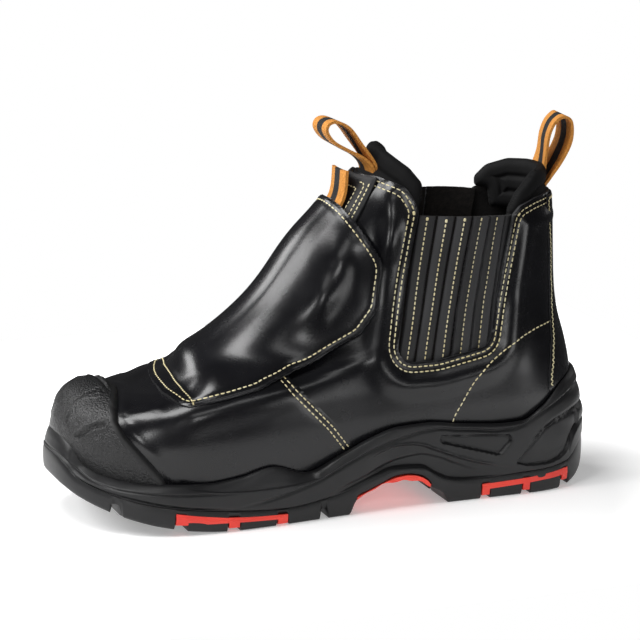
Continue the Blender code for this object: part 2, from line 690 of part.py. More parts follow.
def make_strips(finish):
    """Back strip down the heel seam and folded strip up the front of the collar."""
    left = [(-half, z) for z, half in BACK_STRIP]
    right = [(half, z) for z, half in reversed(BACK_STRIP)]
    outside = SEAT_GAP + STRIP_THICKNESS
    mesh = overlay_mesh("back_strip", BACK_STRIP_LEVELS, BACK_STRIP_TURNS, SEAT_GAP, outside)
    strip = part("back_strip", mesh, finish)
    foot = [(-y, z) for y, z in BACK_STRIP_FOOT]
    outline = prism_mesh("back_strip_outline", left + foot + right, "X", *BACK_CUT)
    combine(strip, cutter("back_strip_outline", outline), "INTERSECT")

    low, high = PLACKET_HEIGHTS
    half = PLACKET_HALF_WIDTH
    mesh = overlay_mesh("front_strip", PLACKET_LEVELS, PLACKET_TURNS, SEAT_GAP, SEAT_GAP + PLACKET_THICKNESS)
    strip = part("front_strip", mesh, finish)
    corners = [(-half, low), (half, low), (half, high), (-half, high)]
    outline = prism_mesh("front_strip_outline", corners, "X", *FRONT_CUT)
    combine(strip, cutter("front_strip_outline", outline), "INTERSECT")


def make_flap(finish):
    """Leather flap that stands off the instep, cut to its outline from a shell over the last."""
    from_middle = np.minimum(TURNS, 1 - TURNS)
    spread = np.interp(from_middle, *np.array(FLAP_SIDE_LIFT).T)
    lift = along(FLAP_LIFT, GRID[..., 0])
    stand = np.maximum(FLAP_LEAST_LIFT, lift * spread[None, :])
    mesh = overlay_mesh("metatarsal_flap", FLAP_LEVELS, FLAP_TURNS, stand, stand + LEATHER)
    flap = part("metatarsal_flap", mesh, finish)
    outline = prism_mesh("flap_outline", rounded(FLAP_EDGE), "Y", -FAR, FAR)
    combine(flap, cutter("flap_outline", outline), "INTERSECT")


def make_toe_cap(finish):
    """Rubber cap over the toe, from the rim up to its curved rear edge."""
    mesh = overlay_mesh("toe_cap", CAP_LEVELS, CAP_TURNS, SEAT_GAP, SEAT_GAP + CAP_THICKNESS)
    cap = part("toe_cap", mesh, finish)
    foot = [(x, along(RIM_LINE, x) + CAP_GAP) for x in np.linspace(CAP_END_X, CAP_TIP_X, CAP_FOOT_STEPS)]
    outline = foot + list(CAP_FRONT) + rounded(CAP_REAR)[:-1]
    frame = cutter("toe_cap_outline", prism_mesh("toe_cap_outline", outline, "Y", -FAR, FAR))
    combine(cap, frame, "INTERSECT")


def ribbon_outline(route, thickness):
    """Outline of a band of even thickness along an open route."""
    points = np.array(route, float)
    run = np.gradient(points, axis=0)
    normal = np.stack([-run[:, 1], run[:, 0]], 1)
    normal = normal / np.linalg.norm(normal, axis=1, keepdims=True) * thickness / 2
    return [tuple(p) for p in points + normal] + [tuple(p) for p in (points - normal)[::-1]]


def make_webbing(finish):
    """Pull loops and flap tab: bands run across the boot by the webbing's width."""
    half = WEBBING_WIDTH / 2
    for name, route, thickness, bow, bow_ends in (
        ("pull_loop_front", FRONT_LOOP, WEBBING, FRONT_BOW, FRONT_BOW_ENDS),
        ("pull_loop_rear", REAR_LOOP, WEBBING, REAR_BOW, REAR_BOW_ENDS),
        ("flap_webbing_tab", TAB_ROUTE, TAB_THICKNESS, FRONT_BOW, FRONT_BOW_ENDS),
    ):
        outline = ribbon_outline(route, thickness)
        part(name, band_mesh(name, outline, half, bow, bow_ends), finish)


def make_insole(finish):
    """Insole on the midsole's seat, inside the upper's wall."""
    inside = skin(-LEATHER - SEAT_GAP)
    part("insole", stack_mesh("insole", inside[: level_index(INSOLE_LEVEL) + 1]), finish)


def make_midsole(finish):
    """Cup with a rim: the sole's form less the last, with panels sunk into its sides."""
    midsole = part("midsole", stack_mesh("midsole", midsole_rings(0)), finish)
    seat = skin(SEAT_GAP)[: level_index(SEAT_LEVEL) + 1]
    seat[0, :, 2] -= SEAT_GAP
    combine(midsole, cutter("last", stack_mesh("last", seat)), "DIFFERENCE")
    core = cutter("midsole_core", stack_mesh("midsole_core", midsole_rings(PANEL_DEPTH)))
    for name, side in (("outer", -1), ("inner", 1)):
        for panel, edge in (("quarter_panel_", QUARTER_PANEL), ("heel_panel_", HEEL_PANEL)):
            near, far = sorted((side * SIDE_START, side * FAR))
            sunk = cutter(panel + name, prism_mesh(panel + name, rounded(edge), "Y", near, far))
            combine(sunk, core, "DIFFERENCE")
            combine(midsole, sunk, "DIFFERENCE")


def bar_outline(bar, tabs):
    """Outline of an inlay: a bar of rows (x, top, bottom) with tabs (from, to, bottom) under it."""
    rows = np.array(bar, float)
    where = np.linspace(0, len(rows) - 1, BAR_HEIGHT_STEPS * (len(rows) - 1) + 1)
    top = [tuple(p) for p in np.stack([catmull(rows[:, k], where) for k in (0, 1)], 1)]
    under = [p for p in np.stack([catmull(rows[:, k], where) for k in (0, 2)], 1)]
    below = []
    for start, end, foot in tabs:
        edge = [np.interp(x, [p[0] for p in under], [p[1] for p in under]) for x in (start, end)]
        below += [(start, edge[0]), (start, foot), (end, foot), (end, edge[1])]
    below = [p for p in below if rows[0, 0] <= p[0] <= rows[-1, 0]][1:-1]
    return top + below[::-1]


def make_outsole(finish, inlay_finish):
    """Tread with its lugs, the red inlays in its sides and the red plate under the arch."""
    outsole = part("outsole", stack_mesh("outsole", outsole_rings(0)), finish)
    proud = cutter("outsole_proud", stack_mesh("outsole_proud", outsole_rings(-INLAY_PROUD)))
    core = cutter("outsole_core", stack_mesh("outsole_core", outsole_rings(INLAY_DEPTH)))
    deep = cutter("outsole_deep", stack_mesh("outsole_deep", outsole_rings(INLAY_DEPTH + SEAT_GAP)))

    for side_name, side in (("outer", -1), ("inner", 1)):
        for place, bar, tabs in (
            ("forefoot", FOREFOOT_BAR, FOREFOOT_TABS),
            ("heel", HEEL_BAR, HEEL_TABS),
        ):
            name = "inlay_" + place + "_" + side_name
            near, far = sorted((side * SIDE_START, side * FAR))
            outline = bar_outline(bar, tabs)
            inlay = part(name, prism_mesh(name, outline, "Y", near, far), inlay_finish)
            combine(inlay, proud, "INTERSECT")
            combine(inlay, core, "DIFFERENCE")
            recess = prism_mesh(name + "_recess", grown(outline, SEAT_GAP), "Y", near, far)
            recess = cutter(name + "_recess", recess)
            combine(recess, deep, "DIFFERENCE")
            combine(outsole, recess, "DIFFERENCE")

    top = np.array(SHANK_TOP, float)
    run = np.linspace(top[-1, 0], top[0, 0], SHANK_STEPS_PER_RIB * SHANK_RIBS + 1)
    wave = 0.5 - 0.5 * np.cos(np.linspace(0, 2 * np.pi * SHANK_RIBS, len(run)))
    under = [(x, along(GROUND_LINE, x) + SHANK_RIB_DEPTH * w) for x, w in zip(run, wave)]
    outline = [tuple(p) for p in top] + under
    shank = part("shank_inlay", prism_mesh("shank_inlay", outline, "Y", -FAR, FAR), inlay_finish)
    combine(shank, cutter("shank_form", stack_mesh("shank_form", outsole_rings(0))), "INTERSECT")
    lid = grown([tuple(p) for p in top] + [(top[-1, 0], UNDER), (top[0, 0], UNDER)], SEAT_GAP)
    combine(outsole, cutter("shank_recess", prism_mesh("shank_recess", lid, "Y", -FAR, FAR)), "DIFFERENCE")

    channel = [TREAD_MIDDLE_Y - CHANNEL_Y, TREAD_MIDDLE_Y + CHANNEL_Y]
    side_boxes = []
    for start, end in SIDE_GROOVES:
        roof = float(along(GROUND_LINE, (start + end) / 2)) + LUG_DEPTH
        side_boxes.append(((start, -FAR, UNDER), (end, channel[0], roof)))
        side_boxes.append(((start, channel[1], UNDER), (end, FAR, roof)))
    middle_boxes = []
    for start, end in MIDDLE_GROOVES:
        roof = float(along(GROUND_LINE, (start + end) / 2)) + LUG_DEPTH
        middle_boxes.append(((start, channel[0], UNDER), (end, channel[1], roof)))
    channel_boxes = []
    for start, end in CHANNELS:
        for y in channel:
            half = CHANNEL_WIDTH / 2
            channel_boxes.append(((start, y - half, UNDER), (end, y + half, LUG_DEPTH)))
    grooves = (("side_grooves", side_boxes), ("middle_grooves", middle_boxes), ("channels", channel_boxes))
    for name, boxes in grooves:
        combine(outsole, cutter(name, boxes_mesh(name, boxes)), "DIFFERENCE")


for old in list(bpy.data.objects):
    bpy.data.objects.remove(old, do_unlink=True)
PARTS = bpy.data.collections.new(COLLECTION_NAME)
CUTTERS = bpy.data.collections.new(COLLECTION_NAME + "_cutters")
bpy.context.scene.collection.children.link(PARTS)
bpy.context.scene.collection.children.link(CUTTERS)
BOOT = bpy.data.objects.new("boot", None)
PARTS.objects.link(BOOT)
# The origin is under the middle of the sole's box
SOLE_FORM = np.concatenate(midsole_rings(0))
MIDDLE = (SOLE_FORM.max(0) + SOLE_FORM.min(0)) / 2
BOOT.location = (-MIDDLE[0] * MM, -MIDDLE[1] * MM, 0)

LEATHER_BLACK = material("black_leather", (0.012, 0.012, 0.015), 0.28)
RUBBER_BLACK = material("black_rubber", (0.02, 0.02, 0.021), 0.6)
FOAM_BLACK = material("black_foam", (0.025, 0.025, 0.027), 0.65)
INLAY_RED = material("red_rubber", (0.85, 0.05, 0.03), 0.5)
WEBBING_ORANGE = material("orange_webbing", (0.72, 0.33, 0.06), 0.85)
ELASTIC_BLACK = material("black_elastic", (0.02, 0.02, 0.02), 0.8)
PAD_BLACK = material("black_padding", (0.015, 0.015, 0.016), 0.9)
INSOLE_GREY = material("grey_insole", (0.06, 0.06, 0.065), 0.95)

make_midsole(FOAM_BLACK)
make_outsole(RUBBER_BLACK, INLAY_RED)
make_insole(INSOLE_GREY)
make_upper(LEATHER_BLACK)
make_gores(ELASTIC_BLACK)
make_pads(PAD_BLACK)
make_strips(LEATHER_BLACK)
make_flap(LEATHER_BLACK)
make_toe_cap(RUBBER_BLACK)
make_webbing(WEBBING_ORANGE)
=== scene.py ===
"""Looks of the welding boot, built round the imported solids.

Drawing sizes are in millimetres: toe to -X, outer side of the foot to -Y, lugs on z = 0. A place on
the upper has a turn, from 0 at the toe along the outer side to 0.5 at the heel and back to 1, and a
level, counted in rows of the section table.
"""
import math

import bpy
import numpy as np
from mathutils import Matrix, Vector


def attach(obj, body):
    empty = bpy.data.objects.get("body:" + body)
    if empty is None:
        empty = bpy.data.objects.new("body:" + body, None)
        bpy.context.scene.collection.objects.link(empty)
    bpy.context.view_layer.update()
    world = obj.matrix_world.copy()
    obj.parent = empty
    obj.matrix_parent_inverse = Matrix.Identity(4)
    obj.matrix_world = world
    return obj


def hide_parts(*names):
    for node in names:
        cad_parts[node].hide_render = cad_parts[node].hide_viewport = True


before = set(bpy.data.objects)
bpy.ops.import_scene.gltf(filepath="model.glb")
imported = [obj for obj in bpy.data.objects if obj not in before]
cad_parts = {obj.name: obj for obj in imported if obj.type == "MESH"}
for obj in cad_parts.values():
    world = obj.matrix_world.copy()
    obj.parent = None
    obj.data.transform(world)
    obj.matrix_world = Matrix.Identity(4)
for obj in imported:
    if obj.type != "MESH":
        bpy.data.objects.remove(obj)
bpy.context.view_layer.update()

MM = 0.001
# The part's origin in the drawing
ORIGIN = np.array((0.184, 3.5, 0.0))

# The last, as in the part's source
SECTION_COLUMNS = ("nose_x", "nose_z", "heel_x", "heel_z", "sag", "nose_y", "ball_out", "ball_in",
                   "waist_out", "waist_in", "heel_out", "heel_in", "nose_round", "heel_round")
SECTIONS = (
    (-138, 31, 139, 35, -9, 8, 47, 45, 37, 34, 34, 33, 0.21, 0.16),
    (-143, 46, 142.5, 50, -4, 8, 50, 48, 41, 37, 37, 36, 0.21, 0.16),
    (-138.5, 56.5, 141.5, 66, 0, 7, 49, 47, 41, 37, 37.5, 36.5, 0.22, 0.17),
    (-128, 63, 138.3, 81, 0, 6, 46, 44, 40, 36, 37, 36, 0.26, 0.18),
    (-112, 66, 134.8, 93, 0, 5, 40.5, 38.5, 39, 36, 36, 35, 0.32, 0.19),
    (-92, 69, 132.8, 104, 0, 4, 35, 33, 38, 35, 35, 34, 0.38, 0.21),
    (-69, 78, 132, 115, 0, 3, 31, 30, 37, 35, 34, 33.5, 0.42, 0.24),
    (-44, 97, 131.6, 126, 0, 2, 29, 28, 36, 35, 34, 33.5, 0.46, 0.28),
    (-19, 121, 131.3, 136, 0, 1, 30, 29, 36, 35.5, 34, 33.5, 0.48, 0.33),
    (1, 146, 131, 146, 0, 0, 32, 31.5, 37, 36.5, 34, 34, 0.50, 0.38),
    (14, 165, 130.5, 154, 0, 0, 34, 34, 38, 38, 34.5, 34.5, 0.50, 0.42),
    (22, 180, 130, 162, 0, 0, 35, 35, 39, 39, 35, 35, 0.50, 0.44),
    (27, 194, 130, 175, 0, 0, 35, 35, 39, 39, 35, 35, 0.50, 0.44),
)
SOLE_SECTION = (-151, 0, 151, 0, 0, 8, 55, 52, 44.5, 37, 40, 38.5, 0.21, 0.15)
WIDTH_STATIONS = (0.0, 0.28, 0.55, 0.80, 1.0)
END_TAPER = 0.97
OVAL_POWER = 2.15
SAG_SKEW = 0.6
LEATHER = 2.2


def catmull(values, where):
    """Smooth value at a fractional index of a row of values, by Catmull-Rom."""
    values = np.asarray(values, float)
    padded = np.concatenate([[2 * values[0] - values[1]], values, [2 * values[-1] - values[-2]]])
    first = np.clip(np.floor(where).astype(int), 0, len(padded) - 4)
    part = where - first
    a, b, c, d = (padded[first + k] for k in range(4))
    slope = c - a
    bend = 2 * a - 5 * b + 4 * c - d
    twist = 3 * b - a - 3 * c + d
    return 0.5 * (2 * b + slope * part + bend * part ** 2 + twist * part ** 3)


def along(line, x):
    """Height on a line of (x, height) rows: a smooth curve that never overshoots its rows."""
    rows = np.array(line, float)
    knots = rows[:, 0]
    gap = np.diff(knots)
    rise = np.diff(rows[:, 1]) / gap
    slopes = np.zeros(len(knots))
    same_way = rise[:-1] * rise[1:] > 0
    mean = 2 * rise[:-1] * rise[1:] / np.where(same_way, rise[:-1] + rise[1:], 1)
    slopes[1:-1] = np.where(same_way, mean, 0)
    x = np.clip(x, knots[0], knots[-1])
    k = np.clip(np.searchsorted(knots, x) - 1, 0, len(gap) - 1)
    f = (x - knots[k]) / gap[k]
    start = rows[k, 1] * (1 + 2 * f) * (1 - f) ** 2 + slopes[k] * gap[k] * f * (1 - f) ** 2
    end = rows[k + 1, 1] * f ** 2 * (3 - 2 * f) + slopes[k + 1] * gap[k] * f ** 2 * (f - 1)
    return start + end


def smoothstep(low, high, value):
    """0 below low, 1 above high, and a soft rise between."""
    f = np.clip((value - low) / (high - low), 0, 1)
    return f * f * (3 - 2 * f)


def hump(distance, width):
    """Soft bump of height 1 at distance 0."""
    return np.exp(-(distance / width) ** 2)


def section_side(size, share, side):
    """Points of a section at shares of its length from nose to heel; side is -1 outer, 1 inner."""
    key = "out" if side < 0 else "in"
    ball, waist, heel = (size[name + key] for name in ("ball_", "waist_", "heel_"))
    widths = np.array([ball * END_TAPER, ball, waist, heel, heel * END_TAPER])
    middle = catmull(widths, np.interp(share, WIDTH_STATIONS, np.arange(len(widths))))
    nose = np.clip(1 - share / size["nose_round"], 0, 1)
    back = np.clip(1 - (1 - share) / size["heel_round"], 0, 1)
    round_off = ((1 - nose ** OVAL_POWER) * (1 - back ** OVAL_POWER)) ** (1 / OVAL_POWER)
    x = size["nose_x"] + (size["heel_x"] - size["nose_x"]) * share
    y = size["nose_y"] * (1 - share) ** 2 + side * middle * round_off
    z = size["nose_z"] + (size["heel_z"] - size["nose_z"]) * share
    z = z + size["sag"] * np.sin(np.pi * share ** SAG_SKEW)
    return np.stack([x, y, z], 1)


def section_at(level):
    """Section of the last at a fractional level of the table."""
    table = np.array(SECTIONS, float)
    row = [float(catmull(table[:, k], np.array([level]))[0]) for k in range(table.shape[1])]
    return dict(zip(SECTION_COLUMNS, row))


def cosine_shares(count):
    """Shares from 0 to 1 that crowd towards both ends."""
    return 0.5 - 0.5 * np.cos(np.linspace(0, np.pi, count))


# Fine table of the last, read by every piece of the upper
TABLE_LEVELS = 289
TABLE_TURNS = 720
TOP_LEVEL = 12.0
FINE_STEPS = 801


def ring_of_last(level):
    """Closed ring of the last at a level, evenly spaced along each side."""
    size = section_at(level)
    sides = []
    for side in (-1, 1):
        fine = section_side(size, cosine_shares(FINE_STEPS), side)
        steps = np.linalg.norm(np.diff(fine, axis=0), axis=1)
        run = np.concatenate([[0], np.cumsum(steps)])
        places = np.linspace(0, run[-1], TABLE_TURNS // 2 + 1)
        sides.append(np.stack([np.interp(places, run, fine[:, k]) for k in range(3)], 1))
    return np.concatenate([sides[0], sides[1][-2:0:-1]])


def unit(vectors):
    """Vectors scaled to length 1."""
    return vectors / np.maximum(np.linalg.norm(vectors, axis=-1, keepdims=True), 1e-9)


LAST = np.array([ring_of_last(level) for level in np.linspace(0, TOP_LEVEL, TABLE_LEVELS)])
LAST_NORMALS = unit(np.cross(np.roll(LAST, -1, 1) - np.roll(LAST, 1, 1), np.gradient(LAST, axis=0)))


def last_grid(turns, levels):
    """Points and normals of the last on a grid of levels and turns."""
    row = np.clip(np.asarray(levels, float) / TOP_LEVEL * (TABLE_LEVELS - 1), 0, TABLE_LEVELS - 1.001)
    column = np.mod(np.asarray(turns, float), 1) * TABLE_TURNS
    i = row.astype(int)
    j = column.astype(int) % TABLE_TURNS
    row_part = (row - i)[:, None, None]
    column_part = (column - np.floor(column))[None, :, None]
    after = (j + 1) % TABLE_TURNS
    found = []
    for table in (LAST, LAST_NORMALS):
        low = table[i][:, j] * (1 - column_part) + table[i][:, after] * column_part
        high = table[i + 1][:, j] * (1 - column_part) + table[i + 1][:, after] * column_part
        found.append(low * (1 - row_part) + high * row_part)
    return found[0], unit(found[1])


# Outlines in side view, rows of x, z and corner radius, as in the part's source
COLLAR_EDGE = ((-30, 175.5), (25, 176, 8), (37.5, 171, 8), (42.8, 162, 8), (43.8, 157, 2), (36, 119),
               (28, 78.6, 9), (53, 78.4, 30), (83, 84, 7), (90.2, 122, 60), (97, 153.5, 2), (101.5, 157.6, 4),
               (112, 160.6, 12), (124, 161.8, 8), (160, 162.2), (160, 260), (-30, 260))
GORE_EDGE = ((38.3, 156), (30, 119), (21.6, 72.4, 13), (53, 72.2, 30), (89, 79, 11), (96.3, 122, 60),
             (102.6, 152.6))
FLAP_EDGE = ((-125, 76), (-100, 70.5), (-93.5, 67.4, 6), (-88, 64.4, 8), (-66.4, 67.6, 60), (-49.7, 70.5, 60),
             (-18, 80.2, 60), (9.7, 94.5, 12), (20, 107, 12), (24.5, 131, 16), (12.5, 155, 30), (-12, 192),
             (-125, 160))
# The flap's front edge and the seam behind it, from above, rows of y and x
FLAP_FRONT = ((-60, -86), (-47, -88), (-43.6, -89.6), (-40, -92.2), (-32.6, -94.5), (-21, -95), (-7, -93.8),
              (6, -92.7), (17, -90.5), (27, -88), (36, -84.5), (44, -80.5), (60, -74))
FLAP_HEM = ((-60, -81.5), (-41.7, -84), (-27.8, -85.6), (-4, -84), (10.5, -82.3), (34.9, -77.2), (60, -71.5))
VAMP_EDGE = ((12, 24), (6.9, 32.7), (-7.5, 50.9, 60), (-22.1, 66, 40), (-31, 74.6, 30), (-60, 108),
             (-200, 108), (-200, 0), (12, 0))
# Top of the sole's rim, rows of x and height
RIM_TOP = ((-146, 56), (-142.5, 50.5), (-140.6, 47.2), (-139, 44), (-137, 39), (-133.3, 34.2),
           (-126.5, 30.4), (-114.5, 27.7), (-99, 26.6), (-78, 25.7), (-61, 27.6), (-44, 31.4), (-23, 25.6),
           (-4, 33), (14, 41), (28, 45), (46, 45.6), (63, 43.3), (93, 40.5), (102, 41), (114, 47.5),
           (129, 59), (140, 63), (145, 64))


def rounded(corners, steps=8):
    """Outline through rows of corner and radius, with an arc at each corner."""
    places = np.array([row[:2] for row in corners], float)
    outline = []
    for k, row in enumerate(corners):
        here = places[k]
        radius = row[2] if len(row) > 2 else 0
        if radius == 0:
            outline.append(here)
            continue
        before = places[k - 1] - here
        after = places[(k + 1) % len(places)] - here
        room = 0.5 * min(np.linalg.norm(before), np.linalg.norm(after))
        before = unit(before)
        after = unit(after)
        half_angle = 0.5 * math.acos(np.clip(before @ after, -1, 1))
        reach = min(radius / math.tan(half_angle), room)
        fitted = reach * math.tan(half_angle)
        centre = here + unit(before + after) * fitted / math.sin(half_angle)
        start = here + before * reach - centre
        end = here + after * reach - centre
        first = math.atan2(start[1], start[0])
        sweep = (math.atan2(end[1], end[0]) - first + math.pi) % (2 * math.pi) - math.pi
        for angle in first + sweep * np.linspace(0, 1, steps + 1):
            outline.append(centre + fitted * np.array((math.cos(angle), math.sin(angle))))
    return np.array(outline)


def outline_distance(outline, a, b):
    """Distance of points (a, b) from a closed outline, positive inside, and its gradient."""
    best = np.full(a.shape, 1e18)
    near_a = np.zeros(a.shape)
    near_b = np.zeros(a.shape)
    inside = np.zeros(a.shape, bool)
    for start, end in zip(outline, np.roll(outline, -1, 0)):
        run = end - start
        length = max(run @ run, 1e-12)
        f = np.clip(((a - start[0]) * run[0] + (b - start[1]) * run[1]) / length, 0, 1)
        pa = start[0] + f * run[0]
        pb = start[1] + f * run[1]
        far = (a - pa) ** 2 + (b - pb) ** 2
        closer = far < best
        best = np.where(closer, far, best)
        near_a = np.where(closer, pa, near_a)
        near_b = np.where(closer, pb, near_b)
        if start[1] != end[1]:
            crosses = (start[1] > b) != (end[1] > b)
            inside ^= crosses & (a < start[0] + (b - start[1]) * run[0] / run[1])
    sign = np.where(inside, 1.0, -1.0)
    distance = np.sqrt(best)
    scale = sign / np.maximum(distance, 1e-6)
    return sign * distance, (a - near_a) * scale, (b - near_b) * scale


def surface_distance(outline, points, normals, axes=(0, 2)):
    """Distance along the surface from an outline drawn in one view, and the way in from its edge."""
    flat, ga, gb = outline_distance(outline, points[..., axes[0]], points[..., axes[1]])
    slope = np.zeros(points.shape)
    slope[..., axes[0]] = ga
    slope[..., axes[1]] = gb
    slope -= normals * np.sum(slope * normals, -1, keepdims=True)
    steep = np.maximum(np.linalg.norm(slope, axis=-1), 0.2)
    return flat / steep, slope / steep[..., None]


def grid_quads(rows, columns, close_columns=False, close_rows=False):
    """Corners of a grid's quads. A closed direction joins its last line to its first."""
    index = np.arange(rows * columns).reshape(rows, columns)
    right = np.roll(index, -1, 1)
    corners = np.stack([index, right, np.roll(right, -1, 0), np.roll(index, -1, 0)], -1)
    height = rows if close_rows else rows - 1
    width = columns if close_columns else columns - 1
    return corners[:height, :width].reshape(-1, 4)


# A point moves onto the trimmed edge when it lies within this share of the grid's spacing
SNAP_SHARE = 0.71


def clip_grid(points, distance, way_in, closed=False):
    """Trims a grid at distance 0: moves the points beside the edge onto it and keeps what lies inside."""
    spacing = np.zeros(distance.shape)
    crossing = np.zeros(distance.shape, bool)
    for axis in (0, 1):
        for step in (-1, 1):
            other = np.roll(points, step, axis)
            beyond = np.roll(distance, step, axis)
            real = np.ones(distance.shape, bool)
            if axis == 0 or not closed:
                edge = [slice(None), slice(None)]
                edge[axis] = 0 if step == 1 else -1
                real[tuple(edge)] = False
            reach = np.linalg.norm(points - other, axis=-1)
            spacing = np.where(real, np.maximum(spacing, reach), spacing)
            crossing |= real & (distance * beyond < 0)
    snap = crossing & (np.abs(distance) < SNAP_SHARE * spacing)
    moved = np.where(snap[..., None], points - way_in * distance[..., None], points)
    distance = np.where(snap, 0, distance)
    good = distance >= 0
    corners = grid_quads(*distance.shape, closed)
    kept = good.ravel()[corners]
    whole = kept.sum(1) == 4
    cut = kept.sum(1) == 3
    faces = [tuple(quad) for quad in corners[whole].tolist()]
    for quad, stays in zip(corners[cut].tolist(), kept[cut]):
        faces.append(tuple(v for v, inside in zip(quad, stays) if inside))
    return moved, distance, faces


def rim_edges(faces):
    """Directed edges that only one face uses."""
    edges = set()
    for face in faces:
        for a, b in zip(face, face[1:] + face[:1]):
            if (b, a) in edges:
                edges.remove((b, a))
            else:
                edges.add((a, b))
    return sorted(edges)


def two_skins(outer, inner, faces):
    """Closed shell from two skins with the same faces: points, faces, and which faces are what."""
    count = len(outer)
    shell = list(faces)
    shell += [tuple(v + count for v in face[::-1]) for face in faces]
    rim = [(b, a, a + count, b + count) for a, b in rim_edges(faces)]
    kinds = [0] * len(faces) + [1] * len(faces) + [2] * len(rim)
    return np.concatenate([outer, inner]), shell + rim, kinds


SHARP_ANGLE = 38


def add_mesh(name, points, faces, finishes, kinds=None, sharp=SHARP_ANGLE):
    """Object from points in the drawing's millimetres, without its unused points."""
    used = np.unique(np.concatenate([np.array(face) for face in faces]))
    fresh = np.full(len(points), -1)
    fresh[used] = np.arange(len(used))
    mesh = bpy.data.meshes.new(name)
    places = ((points[used] - ORIGIN) * MM).tolist()
    mesh.from_pydata(places, [], [tuple(fresh[list(face)]) for face in faces])
    for finish in finishes:
        mesh.materials.append(finish)
    if kinds is not None:
        slots = [min(kind, len(finishes) - 1) for kind in kinds]
        mesh.polygons.foreach_set("material_index", slots)
    mesh.validate()
    mesh.shade_smooth()
    mesh.set_sharp_from_angle(angle=math.radians(sharp))
    made = bpy.data.objects.new(name, mesh)
    bpy.context.scene.collection.objects.link(made)
    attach(made, "root")
    return made


def lifted(points, normals, height):
    """Points moved along their normals, by one height or by one for each."""
    return points + normals * np.broadcast_to(height, points.shape[:-1])[..., None]


def shell_piece(name, points, normals, outer, inner, faces, finishes, sharp=SHARP_ANGLE, face_slots=None):
    """Piece with an outer and an inner skin at offsets from a trimmed grid."""
    outside = lifted(points, normals, outer).reshape(-1, 3)
    inside = lifted(points, normals, inner).reshape(-1, 3)
    shell, shell_faces, kinds = two_skins(outside, inside, faces)
    if face_slots is not None:
        kinds[:len(faces)] = face_slots
    return add_mesh(name, shell, shell_faces, finishes, kinds, sharp)


def slots_by(field, faces, limit, low_slot):
    """Material slot of each face: low_slot where the field's mean is under a limit, and 0 elsewhere."""
    flat = np.asarray(field).ravel()
    return [low_slot if np.mean(flat[list(face)]) < limit else 0 for face in faces]


def contours(field, skin, normals, faces, value):
    """Lines on a skin where a field takes a value: a list of runs of points with their normals."""
    field = np.asarray(field).ravel() - value
    field = np.where(np.abs(field) < 1e-7, 1e-7, field)
    skin = skin.reshape(-1, 3)
    normals = normals.reshape(-1, 3)
    links = {}
    for face in faces:
        cuts = []
        for a, b in zip(face, face[1:] + face[:1]):
            if field[a] * field[b] < 0:
                cuts.append((min(a, b), max(a, b)))
        if len(cuts) == 2:
            links.setdefault(cuts[0], []).append(cuts[1])
            links.setdefault(cuts[1], []).append(cuts[0])
    runs = []
    unused = set(links)
    starts = [key for key in links if len(links[key]) == 1] + list(links)
    for start in starts:
        if start not in unused:
            continue
        chain = [start]
        unused.discard(start)
        while True:
            onward = [key for key in links[chain[-1]] if key in unused]
            if not onward:
                break
            chain.append(onward[0])
            unused.discard(onward[0])
        a = np.array([key[0] for key in chain])
        b = np.array([key[1] for key in chain])
        f = (field[a] / (field[a] - field[b]))[:, None]
        places = skin[a] * (1 - f) + skin[b] * f
        ways = unit(normals[a] * (1 - f) + normals[b] * f)
        if len(chain) > 2 and start in links[chain[-1]]:
            places = np.concatenate([places, places[:1]])
            ways = np.concatenate([ways, ways[:1]])
        runs.append((places, ways))
    return runs


SHORTEST_STRETCH = 3


def trimmed(run, keep):
    """Stretches of a run that a test keeps, without the shortest."""
    places, ways = run
    kept = np.flatnonzero(keep(places))
    stretches = np.split(kept, np.flatnonzero(np.diff(kept) > 1) + 1)
    return [(places[part], ways[part]) for part in stretches if len(part) > SHORTEST_STRETCH]


STITCH_LENGTH = 2.35
STITCH_GAP = 0.75
STITCH_WIDTH = 0.76
STITCH_HEIGHT = 0.5
STITCH_SINK = 0.06
STITCH_BOW = 0.12
STITCH_SHARP = 80
# Length and gap of the finer rows
HEM_PITCH = (1.7, 0.6)
FINE_PITCH = (1.9, 0.7)
# Share along a stitch and its thickness there
STITCH_RINGS = ((0.0, 0.0), (0.06, 0.62), (0.22, 1.0), (0.78, 1.0), (0.94, 0.62), (1.0, 0.0))
STITCH_SIDES = 7


def even_run(run, pitch):
    """A run with points at an even pitch, its places a little smoothed."""
    places, ways = run
    soft = places.copy()
    soft[1:-1] = 0.25 * places[:-2] + 0.5 * places[1:-1] + 0.25 * places[2:]
    length = np.concatenate([[0], np.cumsum(np.linalg.norm(np.diff(soft, axis=0), axis=1))])
    count = max(int(length[-1] / pitch), 1)
    at = np.linspace(0, length[-1], count + 1)
    return (np.stack([np.interp(at, length, soft[:, k]) for k in range(3)], 1),
            unit(np.stack([np.interp(at, length, ways[:, k]) for k in range(3)], 1)))


def stitches(name, segments, finish, width=STITCH_WIDTH):
    """One mesh of stitches, each lying between two points along a surface normal."""
    starts = np.array([s[0] for s in segments])
    ends = np.array([s[1] for s in segments])
    up = unit(np.array([s[2] for s in segments]))
    ahead = ends - starts
    side = unit(np.cross(up, ahead))
    angles = np.linspace(0, 2 * np.pi, STITCH_SIDES, endpoint=False)
    rings = []
    for share, thick in STITCH_RINGS:
        bow = STITCH_BOW * math.sin(math.pi * share)
        middle = starts + ahead * share + up * (bow - STITCH_SINK)
        for angle in angles:
            across = side * (0.5 * width * thick * math.cos(angle))
            rings.append(middle + across + up * (0.5 * STITCH_HEIGHT * thick * math.sin(angle)))
    points = np.stack(rings, 1)
    quads = grid_quads(len(STITCH_RINGS), STITCH_SIDES, close_columns=True)
    firsts = np.arange(len(points)) * points.shape[1]
    faces = (firsts[:, None, None] + quads).reshape(-1, 4).tolist()
    add_mesh(name, points.reshape(-1, 3), faces, [finish], sharp=STITCH_SHARP)


